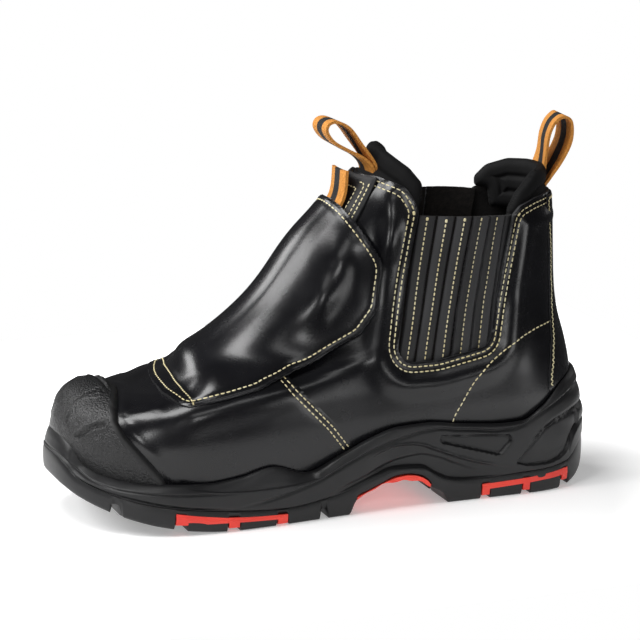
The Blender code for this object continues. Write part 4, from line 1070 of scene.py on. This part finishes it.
# Each pad: outline, first and last turn, how far its inner side stands back and up and its outer side drops
PADS = (("collar_pad_front", PAD_FRONT_EDGE, -0.22, 0.22, 0.0, 5.0, 1.3),
        ("collar_pad_rear", PAD_REAR_EDGE, 0.28, 0.72, 4.5, -1.0, 1.0))
for name, edge, first, last, stand_back, stand_up, drop in PADS:
    points, normals = patch(first, last, *PAD_GRID)
    x = points[..., 0]
    inner = smoothstep(0, PAD_SIDE_Y, points[..., 1])
    outer = smoothstep(0, -PAD_SIDE_Y, points[..., 1])
    drawn = points.copy()
    drawn[..., 0] -= stand_back * inner
    drawn[..., 2] += drop * outer - stand_up * inner * smoothstep(*PAD_TOP, points[..., 2])
    drawn[..., 2] += PAD_END_DROP * outer * smoothstep(*PAD_END_REAR, x) * smoothstep(*PAD_END_FRONT, x)
    inside, way = surface_distance(rounded(edge), drawn, normals)
    moved, distance, faces = clip_grid(points, inside, way)
    full = np.sqrt(np.clip(1 - (1 - np.clip(distance / PAD_ROLL, 0, 1)) ** 2, 0, 1))
    swell = PAD_HALF * full * (1 - bead(distance, *PAD_SEAM))
    made = shell_piece(name + "_roll", moved, normals, PAD_MIDDLE + swell, PAD_MIDDLE - swell, faces,
                       [PAD_FINISH], sharp=180)
    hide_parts(name)

# Half width of the strip down the back seam at heights, and its foot
BACK_STRIP = ((160.6, 21.5), (130, 18.5), (109, 19.5), (92, 24.5), (76, 29.5), (64, 32), (55, 32.5))
BACK_STRIP_FOOT = ((17, 56.5), (0, 57.5), (-17, 56.5))
STRIP_LIFT = 0.9
STRIP_FOOT = 0.05
STRIP_SEWN = (0.3, 1.2, 0.2, 2.2, 1.4)
ZIGZAG_ROW = 2.0
ZIGZAG_OVER_RIM = 1
strip_outline = [(-half, z) for z, half in BACK_STRIP] + [(-y, z) for y, z in BACK_STRIP_FOOT]
strip_outline += [(half, z) for z, half in reversed(BACK_STRIP)]
moved, normals, distance, faces = cut_patch(STRIP_PATCH, np.array(strip_outline, float), axes=(1, 2))
strip_out = STRIP_LIFT - sewn_edge(distance, *STRIP_SEWN)
strip = shell_piece("heel_strip", moved, normals, strip_out, STRIP_FOOT, faces,
                    [LEATHER_FINISH, LEATHER_FINISH, CUT_EDGE_FINISH])
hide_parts("back_strip")
zigzag = []
for run in contours(distance, lifted(moved, normals, strip_out), normals, faces, ZIGZAG_ROW):
    for part in trimmed(run, lambda p: over_rim(p, ZIGZAG_OVER_RIM)):
        zigzag += zigzag_stitches(part)

PLACKET = ((-16.6, 141), (16.6, 141), (16.6, 175), (-16.6, 175))
PLACKET_LIFT = 2.2
PLACKET_SEWN = (0.5, 1.3)
PLACKET_ROWS = (2.0, 4.2, 7.6)
PLACKET_ROW_ENDS = (143.5, 172.2)
moved, normals, distance, faces = cut_patch(PLACKET_PATCH, np.array(PLACKET, float), axes=(1, 2))
placket_out = PLACKET_LIFT - sewn_edge(distance, *PLACKET_SEWN)
placket = shell_piece("front_placket", moved, normals, placket_out, STRIP_FOOT, faces,
                      [PLACKET_FINISH, PLACKET_FINISH, CUT_EDGE_FINISH])
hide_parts("front_strip")
sew(distance, PLACKET_ROWS, lifted(moved, normals, placket_out), normals, faces,
    lambda p: between(p, *PLACKET_ROW_ENDS), FINE_PITCH)

KNOT_PLACES = ((48, -42, 153.6), (58, -42, 153.6), (68, -42, 153.6), (78, -42, 153.6), (88, -42, 153.6),
               (43.5, -36, 157), (100.5, -37, 154.5), (-86.5, -43.5, 66.5), (-83, -44, 66.8))
KNOT_WIDTH = 1.5
ZIGZAG_WIDTH = 0.6
starts = np.array([row[0] for row in stitch_rows])
knots = [stitch_rows[int(np.argmin(np.linalg.norm(starts - place, axis=1)))] for place in KNOT_PLACES]
stitches("stitching", stitch_rows, THREAD_FINISH)
stitches("stitching_knots", knots, THREAD_FINISH, KNOT_WIDTH)
stitches("heel_strip_stitching", zigzag, THREAD_FINISH, ZIGZAG_WIDTH)

FRONT_LOOP = ((24.5, 164), (25.6, 170), (26.2, 175.4), (25, 180.8), (20.2, 190), (13, 200.4), (6, 204.4),
              (1.2, 203.8), (-0.2, 199.8), (3.6, 194.2), (11, 189.4), (18.2, 185.2), (22.6, 180.6),
              (24.2, 175.6), (23.7, 170), (22.6, 164))
REAR_LOOP = ((123.9, 150), (124.1, 157), (124.6, 162.5), (127, 171), (128.2, 180), (129, 189),
             (131.4, 195.6), (134.8, 199.4), (138, 200.4), (140.6, 198), (141.2, 192), (139.8, 185),
             (135.4, 175.4), (130, 167.6), (126.7, 163), (126, 157), (125.8, 150))
REAR_LOOP_TWIST = ((0, 0), (0.14, 0), (0.26, 0.2), (0.42, 0.2), (0.58, 0.04), (0.75, 0), (1, 0))
NO_TWIST = ((0, 0), (0.5, 0), (1, 0))
TAB_ROUTE = ((-2.6, 149), (3.2, 156.2), (7.2, 161.8), (8.9, 166.6), (9.6, 172), (10, 178.4))
WEBBING_HALF = 10.5
BAND_COLUMNS = 22


def band(name, route, thickness, bow, bow_ends, replaced, steps, twist):
    """Flat webbing along a route in side view. It bows across the boot between two heights, and twists."""
    rows = np.array(route, float)
    where = np.linspace(0, len(rows) - 1, steps)
    line = np.stack([catmull(rows[:, 0], where), catmull(rows[:, 1], where)], 1)
    run = unit(np.gradient(line, axis=0))
    normal = np.stack([-run[:, 1], run[:, 0]], 1)
    y = np.linspace(-WEBBING_HALF, WEBBING_HALF, BAND_COLUMNS)[None, :]
    turned = along(twist, np.linspace(0, 1, steps))[:, None]
    skins = []
    for side in (0.5, -0.5):
        edge = line + normal * thickness * side
        fade = 1 - smoothstep(*bow_ends, edge[:, 1:])
        sheet = np.zeros((steps, BAND_COLUMNS, 3))
        sheet[..., 0] = edge[:, :1] + bow * y ** 2 * fade + turned * y
        sheet[..., 1] = y
        sheet[..., 2] = edge[:, 1:]
        skins.append(sheet.reshape(-1, 3))
    quads = grid_quads(steps, BAND_COLUMNS)[:, (0, 3, 2, 1)]
    shell, faces, _ = two_skins(*skins, quads.tolist())
    made = add_mesh(name, shell, faces, [WEBBING_FINISH])
    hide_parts(replaced)


band("front_loop", FRONT_LOOP, 1.5, 0.0186, (179, 196), "pull_loop_front", 120, NO_TWIST)
band("rear_loop", REAR_LOOP, 1.5, -0.0165, (166, 188), "pull_loop_rear", 120, REAR_LOOP_TWIST)
band("flap_tab", TAB_ROUTE, 1.6, 0.008, (179, 196), "flap_webbing_tab", 50, NO_TWIST)

LEDGE_LINE = ((-151, 40), (-143, 34.5), (-136, 28.8), (-123, 24.9), (-100, 22.5), (-85, 21.8), (-52, 20.5),
              (-35, 20.2), (-23, 21.5), (-6, 25), (14, 30.5), (34, 34.3), (43, 33), (52, 28.5), (61, 24),
              (88, 21), (110, 21), (130, 24), (146, 35), (151, 36))
PARTING_LINE = ((-151, 38), (-143, 29), (-124, 21), (-107, 16.6), (-75, 12), (-35, 9), (-7, 12.3), (14, 19),
                (28, 22.5), (43, 21.5), (52, 16.3), (60, 12.7), (69, 11.7), (112, 12.7), (130, 14.6),
                (146, 25), (151, 26.5))
PARTING_GAP = 0.15
# Sole wall: height (0 parting, 1 ledge, 2 rim), lean to the rim, inset, lean at the nose
WALL = ((0, 0, 0.8, 0), (0.12, 0, 0.1, 0), (0.5, 0, 0, 0.06), (0.85, 0, 0, 0.17), (1, 0.03, 0, 0.25),
        (1.25, 0.17, -0.1, 0.4), (1.5, 0.42, -0.2, 0.55), (1.75, 0.72, -0.3, 0.76), (1.92, 0.93, -0.1, 0.93),
        (2, 1, 0.5, 1))
WALL_ROWS = 76
WALL_NOSE = (-136, -147)
WALL_SHARP = 50
# Lines of the sole's relief, rows of x and height
LIP_LINE = ((-70, 13), (-55, 14.6), (-41, 16.8), (-30, 19.3), (-19, 22.1), (-8, 26.5), (1.2, 30.5),
            (18.7, 37.2), (33, 40.6), (44, 42.6), (51.5, 43), (63, 41.4), (75, 40), (87, 38.5), (94, 38.5),
            (102, 40), (108, 42.7), (116, 46.7), (122, 49.2), (131, 52.9), (137.4, 55.5), (151, 57.5))
WAVE_TOP = ((8, 28.5), (15, 31.8), (19.2, 33.2), (26.4, 35.2), (33, 35.4), (41, 34.4), (50.5, 30.6),
            (63, 25.4), (75, 21.3), (88, 18), (104, 15.5))
WAVE_LOW = ((-14, 14), (-7.4, 16.3), (4.6, 19.9), (19.2, 25.3), (30, 28.2), (42, 29.2), (52, 26.8), (63, 22),
            (75, 17.6), (90, 15))
SLIVER_LOW = ((-92, 24.6), (-85, 23.6), (-70, 21.6), (-52, 20.9), (-35, 21.2), (-26, 22), (-17.5, 23.2))
TOE_LINE = ((-151, 38.5), (-148.3, 36.5), (-145.3, 31.8), (-141.4, 28.3), (-137.7, 26.3), (-132.8, 24.4),
            (-128, 23), (-117.9, 20.4), (-107.5, 18), (-95.6, 15.8), (-75, 13), (-60, 12))
HEEL_GROOVE = ((104, 25.5), (107, 28.4), (110.6, 32.1), (115, 35.6), (121.1, 38.9), (127.7, 40.7),
               (132.9, 42), (139, 43.1), (151, 44))
HEEL_FOLD = ((132, 21), (133.5, 25), (136, 29), (139, 31.8), (142.6, 33.6), (151, 35))
HEEL_LEVEL = ((104, 38.5), (130, 38.5), (151, 38.5))
# Relief along those lines: where it starts and ends in x, a step (height, from, to) and a bead (height,
# place, width), both counted across the line
NO_END = (1000, 999)
NO_STEP = (0, 0, 1)
NO_BEAD = (0, 0, 1)
RELIEF = ((LIP_LINE, (-70, -30), NO_END, (1.1, -0.7, 0.35), (-0.7, -1.0, 0.8)),
          (WAVE_TOP, (8, 24), (104, 62), (-1.7, 0.4, -1.4), (0.5, 0.4, 0.7)),
          (WAVE_LOW, (-14, 4), (90, 60), (-1.5, 0.4, -1.8), NO_BEAD),
          (SLIVER_LOW, (-92, -80), (-17, -21), (-1.0, -0.25, 0.35), NO_BEAD),
          (LEDGE_LINE, (-60, -84), NO_END, NO_STEP, (-0.8, -0.3, 0.6)),
          (TOE_LINE, (-60, -84), NO_END, (0.5, 0.3, -0.6), (-0.9, 0, 0.6)),
          (HEEL_GROOVE, (103, 110), NO_END, NO_STEP, (-1.4, 0, 0.9)),
          (HEEL_FOLD, (131, 135), NO_END, NO_STEP, (-1.4, 0, 0.9)),
          (HEEL_GROOVE, (120, 140), NO_END, NO_STEP, (0.6, 6, 4)),
          (HEEL_LEVEL, (120, 140), NO_END, NO_STEP, (0.6, 0, 3.2)))
# Sunk panels of the side with their depths, the width of their walls, and the groove inside them
QUARTER_PANEL = ((52.5, 38.3, 2.5), (94, 34.6, 2.5), (96, 31, 2), (88.5, 23.4, 3), (53.5, 33.8, 2))
HEEL_PANEL = ((97.5, 18.2, 1), (105, 15.9, 8), (118.4, 15.6, 12), (125.2, 17.2, 8), (130.9, 20.6, 6),
              (133.5, 26, 12), (138, 31.4, 5), (141, 33.4, 2), (139, 42, 2), (132.9, 41.3, 10),
              (121.1, 38.1, 12), (115, 34.8, 12), (107, 27.6, 14))
PANELS = ((QUARTER_PANEL, 1.6), (HEEL_PANEL, 1.3))
PANEL_WALL = (-0.2, 0.5)
PANEL_GROOVE = (0.35, 0.8, 0.5)
# Heights of the wall between which the relief is full
RELIEF_FOOT = (0, 0.1)
RELIEF_TOP = (2.02, 1.95)
# Thickness of the rim, and what is added to it: how much, where it starts and ends in x
RIM_THICKNESS = 3.4
RIM_ADDED = ((2.0, (-85, -105), (-146, -126)), (-1.2, (108, 135), NO_END), (-0.3, (-130, -143), NO_END))
# Least room of the ledge over the parting line and under the rim
LEDGE_ROOM = (1.5, 2.5)
# Top of the rim: share of its thickness and height, then offset and depth of its lip
RIM_CROWN = (0.55, 0.25)
RIM_LIP = (0.35, 0.5)
CUP_DEPTH = 12
CUP_FLOOR = 0.2
FOOT_WIDTH = 9


def over_line(line, x, z):
    """Distance of places on the sole's side over a line of the relief."""
    step = 0.5
    slope = (along(line, x + step) - along(line, x - step)) / (2 * step)
    return (z - along(line, x)) / np.sqrt(1 + slope ** 2)


def sole_relief(x, z):
    """How far the sole's side stands out of its plain form, in millimetres."""
    relief = np.zeros(x.shape)
    for line, start, end, (height, low, high), ridge in RELIEF:
        over = over_line(line, x, z)
        there = smoothstep(*start, x) * smoothstep(*end, x)
        relief += there * (height * smoothstep(low, high, over) + bead(over, *ridge))
    for panel, depth in PANELS:
        inside_panel = outline_distance(rounded(panel), x, z)[0]
        relief -= depth * smoothstep(*PANEL_WALL, inside_panel) + bead(inside_panel, *PANEL_GROOVE)
    return relief


# Grooves across the tread at its sides and in its middle, and channels along it: first and last x
SIDE_GROOVES = ((-127.5, -123.5), (-97.3, -91.3), (-69.2, -62.8), (-41.8, -35.8), (-16.5, -12.5),
                (77.7, 82.7), (102, 106.6), (126.7, 131.5))
MIDDLE_GROOVES = ((-82, -78), (-54, -50), (-28, -24), (90, 94))
CHANNELS = ((-122, 12), (50, 138))
CHANNEL_Y = 17.0
CHANNEL_HALF = 2.0
CHANNEL_BLEND = 0.4
TREAD_MIDDLE_Y = 3.0
LUG_DEPTH = 5.0
GROOVE_SLOPE = 0.5
GROOVE_INSET = 1.1
GROOVE_INSET_FADE = (0.85, 0.5)
SOLE_LENGTH = 302.0
# Points along each side of the sole: crowded to the ends, even, and at the edges of the grooves
END_POINTS = 150
EVEN_POINTS = 351
groove_sides = np.array(SIDE_GROOVES + MIDDLE_GROOVES).reshape(-1, 1)
groove_edges = (groove_sides + (-GROOVE_SLOPE, GROOVE_SLOPE)).ravel()
shares = np.concatenate([cosine_shares(END_POINTS), np.linspace(0, 1, EVEN_POINTS),
                         groove_edges / SOLE_LENGTH + 0.5])
shares = np.unique(np.round(shares, 5))
sole_size = dict(zip(SECTION_COLUMNS, SOLE_SECTION))
RIM_LEVELS = (0, 4, 81)


def ring_from_sides(outer, inner):
    """One ring from the two sides, each listed from nose to heel."""
    return np.concatenate([outer, inner[-2:0:-1]])


def plan_normals(ring):
    """Horizontal unit normals of a ring, pointing outwards."""
    run = np.roll(ring, -1, 0) - np.roll(ring, 1, 0)
    return unit(np.stack([run[:, 1], -run[:, 0], np.zeros(len(ring))], 1))


def at_height(ring, height):
    """A ring with its points moved to a height."""
    return np.column_stack([ring[:, :2], height])


def rim_ring():
    """The last at the height of the rim line."""
    sizes = [section_at(level) for level in np.linspace(*RIM_LEVELS)]
    sides = []
    for side in (-1, 1):
        sheet = np.array([section_side(size, shares, side) for size in sizes])
        over = sheet[..., 2] - along(RIM_TOP, sheet[..., 0])
        first = np.maximum(np.argmax(over > 0, axis=0), 1)
        column = np.arange(len(shares))
        low = over[first - 1, column]
        high = over[first, column]
        f = np.clip(low / np.minimum(low - high, -1e-9), 0, 1)[:, None]
        sides.append(sheet[first - 1, column] * (1 - f) + sheet[first, column] * f)
    return ring_from_sides(*sides)


PLAN = ring_from_sides(section_side(sole_size, shares, -1), section_side(sole_size, shares, 1))
PLAN_OUT = plan_normals(PLAN)
RIM = rim_ring()
RIM_OUT = plan_normals(RIM)
plan_x = PLAN[:, 0]
parting = along(PARTING_LINE, plan_x) + PARTING_GAP
rim_height = along(RIM_TOP, RIM[:, 0])
ledge = np.clip(along(LEDGE_LINE, plan_x), parting + LEDGE_ROOM[0], rim_height - LEDGE_ROOM[1])
thick = np.full((len(PLAN), 1), RIM_THICKNESS)
for added, start, end in RIM_ADDED:
    thick += added * (smoothstep(*start, plan_x) * smoothstep(*end, plan_x))[:, None]
top = RIM + RIM_OUT * thick
wall = np.array(WALL, float)
places = np.linspace(0, len(wall) - 1, WALL_ROWS)
at_nose = smoothstep(*WALL_NOSE, plan_x)[:, None]
rings = []
for height, side_lean, inset, nose_lean in np.stack([catmull(wall[:, k], places) for k in range(4)], 1):
    lean = side_lean + (nose_lean - side_lean) * at_nose
    height = np.clip(height, 0, 2)
    level = parting + (ledge - parting) * min(height, 1) + (rim_height - ledge) * max(height - 1, 0)
    ring = at_height(PLAN * (1 - lean) + top * lean, level)
    outward = PLAN_OUT * (1 - lean) + RIM_OUT * lean
    relief_share = smoothstep(*RELIEF_FOOT, height) * smoothstep(*RELIEF_TOP, height)
    stands_out = sole_relief(ring[:, 0], level) * relief_share - inset
    rings.append(ring + outward * stands_out[:, None])
lip = RIM + RIM_OUT * RIM_LIP[0]
rings += [at_height(RIM + RIM_OUT * (thick * RIM_CROWN[0]), rim_height + RIM_CROWN[1]),
          at_height(lip, rim_height - RIM_LIP[1]),
          at_height(lip, np.maximum(parting + CUP_FLOOR, rim_height - CUP_DEPTH)),
          at_height(PLAN - PLAN_OUT * FOOT_WIDTH, parting)]
quads = grid_quads(len(rings), len(PLAN), close_columns=True, close_rows=True)
midsole = add_mesh("sole_wall", np.concatenate(rings), quads.tolist(), [SOLE_FINISH], sharp=WALL_SHARP)
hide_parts("midsole")

GROUND_LINE = ((-151, 26), (-146, 22), (-141, 18.4), (-132, 14), (-121, 9.8), (-108, 6), (-101, 4.5),
               (-88, 2), (-72, 0.3), (-66, 0), (0.5, 0), (4, 6.5), (14, 11.4), (23, 14.4), (32, 14.7),
               (40, 13.6), (46, 10.6), (55.5, 5.5), (58.5, 0), (126, 0), (137, 2.6), (146, 8), (151, 15))
SHANK_TOP = ((4.5, 9.0), (5, 9.4), (11, 11.6), (17, 13.9), (23, 16.3), (28, 17.7), (34, 18.1), (39, 17.4),
             (43, 15.9), (46, 13.8), (48, 11.4), (48.5, 10))
SHANK_GAP = 0.3
# Tread wall: share of the height, inset
TREAD_WALL = ((0, 2.2), (0.05, 1.4), (0.12, 0.85), (0.25, 0.5), (0.45, 0.3), (0.7, 0.3), (0.9, 0.5), (1, 0.9))
TREAD_SHARP = 40
# Rows of the tread across: offsets from its middle line, then shares of what is left to the edge
TREAD_OFFSETS = (0, 7, 14.2, 14.8, 15.2, 17, 18.8, 19.2, 19.8)
TREAD_OFFSET_LIMIT = 0.9
TREAD_SHARES = (0.15, 0.35, 0.6, 0.85)
TREAD_ROOF = 0.8
TREAD_LEAST_WALL = 0.2
# The tread's lid: shares of the way to its middle line
TREAD_LID = (0.5, 0.98)


def box_share(value, low, high):
    """1 between low and high, 0 outside, with steep sides."""
    rise = smoothstep(low - GROOVE_SLOPE, low + GROOVE_SLOPE, value)
    return rise * smoothstep(high + GROOVE_SLOPE, high - GROOVE_SLOPE, value)


def tread_height(points):
    """Height of the tread's underside: the ground line with its grooves, channels and the shank's seat."""
    x = points[..., 0]
    off = np.abs(points[..., 1] - TREAD_MIDDLE_Y)
    outside = smoothstep(CHANNEL_Y - CHANNEL_HALF, CHANNEL_Y - CHANNEL_HALF + CHANNEL_BLEND, off)
    lane = box_share(off, CHANNEL_Y - CHANNEL_HALF, CHANNEL_Y + CHANNEL_HALF)
    cut = np.zeros(x.shape)
    for cuts, there in ((SIDE_GROOVES, outside), (MIDDLE_GROOVES, 1 - outside), (CHANNELS, lane)):
        for ends in cuts:
            cut = np.maximum(cut, box_share(x, *ends) * there)
    base = along(GROUND_LINE, x)
    over_shank = (x > SHANK_TOP[0][0]) & (x < SHANK_TOP[-1][0])
    seat = np.where(over_shank, along(SHANK_TOP, x) + SHANK_GAP, 0)
    roof = along(PARTING_LINE, x) - TREAD_ROOF
    return np.minimum(np.maximum(base + LUG_DEPTH * cut, seat), np.maximum(roof, base))


def drawn_in(ring, y):
    """A ring with its points moved across the boot."""
    return np.column_stack([ring[:, 0], y, ring[:, 2]])


bottom_edge = PLAN - PLAN_OUT * TREAD_WALL[0][1]
off_middle = bottom_edge[:, 1] - TREAD_MIDDLE_Y
tread = []
for offset in TREAD_OFFSETS:
    reach = np.minimum(offset, np.abs(off_middle) * TREAD_OFFSET_LIMIT)
    tread.append(drawn_in(bottom_edge, TREAD_MIDDLE_Y + np.sign(off_middle) * reach))
inner_edge = tread[-1]
tread += [inner_edge * (1 - share) + bottom_edge * share for share in TREAD_SHARES]
tread = [at_height(ring, tread_height(ring)) for ring in tread]
foot_height = tread_height(bottom_edge)
lid_height = np.maximum(along(PARTING_LINE, plan_x) - PARTING_GAP, foot_height + TREAD_LEAST_WALL)
between_lugs = np.max([box_share(plan_x, *groove) for groove in SIDE_GROOVES], axis=0)
for share, inset in TREAD_WALL:
    depth = inset + GROOVE_INSET * between_lugs * smoothstep(*GROOVE_INSET_FADE, share)
    ring = PLAN - PLAN_OUT * depth[:, None]
    tread.append(at_height(ring, foot_height + (lid_height - foot_height) * share))
lid_edge = tread[-1]
for share in TREAD_LID:
    tread.append(drawn_in(lid_edge, lid_edge[:, 1] * (1 - share) + TREAD_MIDDLE_Y * share))
quads = grid_quads(len(tread), len(PLAN), close_columns=True)
outsole = add_mesh("tread", np.concatenate(tread), quads.tolist(), [TREAD_FINISH], sharp=TREAD_SHARP)
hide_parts("outsole")

for name, finish in (("insole", FELT_FINISH), ("shank_inlay", RED_FINISH),
                     ("inlay_forefoot_outer", RED_FINISH), ("inlay_forefoot_inner", RED_FINISH),
                     ("inlay_heel_outer", RED_FINISH), ("inlay_heel_inner", RED_FINISH)):
    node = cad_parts[name]
    node.data.materials.clear()
    node.data.materials.append(finish)

# Studio: pale floor, soft boxes and the photo's camera
TARGET = Vector((-0.6 - ORIGIN[0], -ORIGIN[1], 96.7)) * MM
AZIMUTH = math.radians(-20)
ELEVATION = math.radians(13)
CAMERA_DISTANCE = 1.5
SENSOR = 36
# Focal length in widths of the picture
FOCAL_WIDTHS = 2805 / 640
across = math.cos(ELEVATION)
back = Vector((math.sin(AZIMUTH) * across, -math.cos(AZIMUTH) * across, math.sin(ELEVATION)))
camera_data = bpy.data.cameras.new("camera")
camera_data.lens = FOCAL_WIDTHS * SENSOR
camera_data.sensor_width = SENSOR
camera = bpy.data.objects.new("camera", camera_data)
camera.location = TARGET + back * CAMERA_DISTANCE
camera.rotation_euler = back.to_track_quat("Z", "Y").to_euler()
bpy.context.scene.collection.objects.link(camera)
bpy.context.scene.camera = camera

FLOOR_CORNERS = ((-0.42, -0.2, 0), (0.32, -0.2, 0), (0.32, 0.4, 0), (-0.42, 0.4, 0))
# Painted light: the floor glows though it is no lamp, more with the distance from the boot's middle, so it is
# darker round the boot
PAINTED_FLOOR_GLOW = {"From Min": 0.16, "From Max": 0.25, "To Min": 0.3, "To Max": 1.0}
floor_mesh = bpy.data.meshes.new("floor")
floor_mesh.from_pydata(FLOOR_CORNERS, [], [(0, 1, 2, 3)])
floor = bpy.data.objects.new("floor", floor_mesh)
floor_finish = mottled("pale_floor_painted_glow", (0.80, 0.80, 0.80), (0.82, 0.82, 0.82), (0.8, 0.9), (),
                       **{"Emission Color": (1, 1, 1, 1)})
tree = floor_finish.node_tree
place = add_node(tree, "ShaderNodeTexCoord")
reach = add_node(tree, "ShaderNodeVectorMath", operation="LENGTH")
glow = add_node(tree, "ShaderNodeMapRange", PAINTED_FLOOR_GLOW)
tree.links.new(place.outputs["Object"], reach.inputs[0])
tree.links.new(reach.outputs["Value"], glow.inputs["Value"])
tree.links.new(glow.outputs["Result"], tree.nodes["Principled BSDF"].inputs["Emission Strength"])
floor_mesh.materials.append(floor_finish)
bpy.context.scene.collection.objects.link(floor)

WORLD_LIGHT = 0.05
world = bpy.data.worlds.new("studio")
world.use_nodes = True
bpy.context.scene.world = world
tree = world.node_tree
sky = tree.nodes["Background"]
path = add_node(tree, "ShaderNodeLightPath")
tree.links.new(remap(tree, path.outputs["Is Camera Ray"], WORLD_LIGHT, 1.0), sky.inputs["Strength"])
sky.inputs["Color"].default_value = (1, 1, 1, 1)

# Lights: place, aim, width, height, power in watts
LIGHTS = (("left_box", (-1.25, 0.15, 1.05), (0, 0, 0.1), 0.9, 0.7, 18),
          ("top_box", (-0.62, -0.25, 1.45), (0, 0, 0.05), 0.6, 0.6, 13),
          ("back_box", (-0.88, 1.04, 0.83), (0, 0, 0.1), 0.45, 0.45, 5),
          ("front_box", (0.1, -1.5, 1.1), (0, 0, 0.1), 1.2, 0.3, 3.5),
          ("side_box", (-1.0, -1.38, 0.34), (0, 0, 0.1), 0.24, 0.36, 3.8),
          ("near_box", (-0.12, -1.45, 0.36), (0, 0, 0.1), 0.22, 0.22, 1.6),
          ("low_box", (0.88, -1.14, -0.04), (0, 0, 0.07), 0.5, 0.24, 1.6),
          ("rear_box", (1.2, 0.4, 0.6), (0.03, 0, 0.1), 0.4, 0.9, 1.2))
for name, place, aim, width, height, power in LIGHTS:
    data = bpy.data.lights.new(name, "AREA")
    data.shape = "RECTANGLE"
    data.size = width
    data.size_y = height
    data.energy = power
    light = bpy.data.objects.new(name, data)
    light.location = place
    light.rotation_euler = (Vector(place) - Vector(aim)).to_track_quat("Z", "Y").to_euler()
    bpy.context.scene.collection.objects.link(light)

bpy.context.scene.view_settings.view_transform = "Standard"
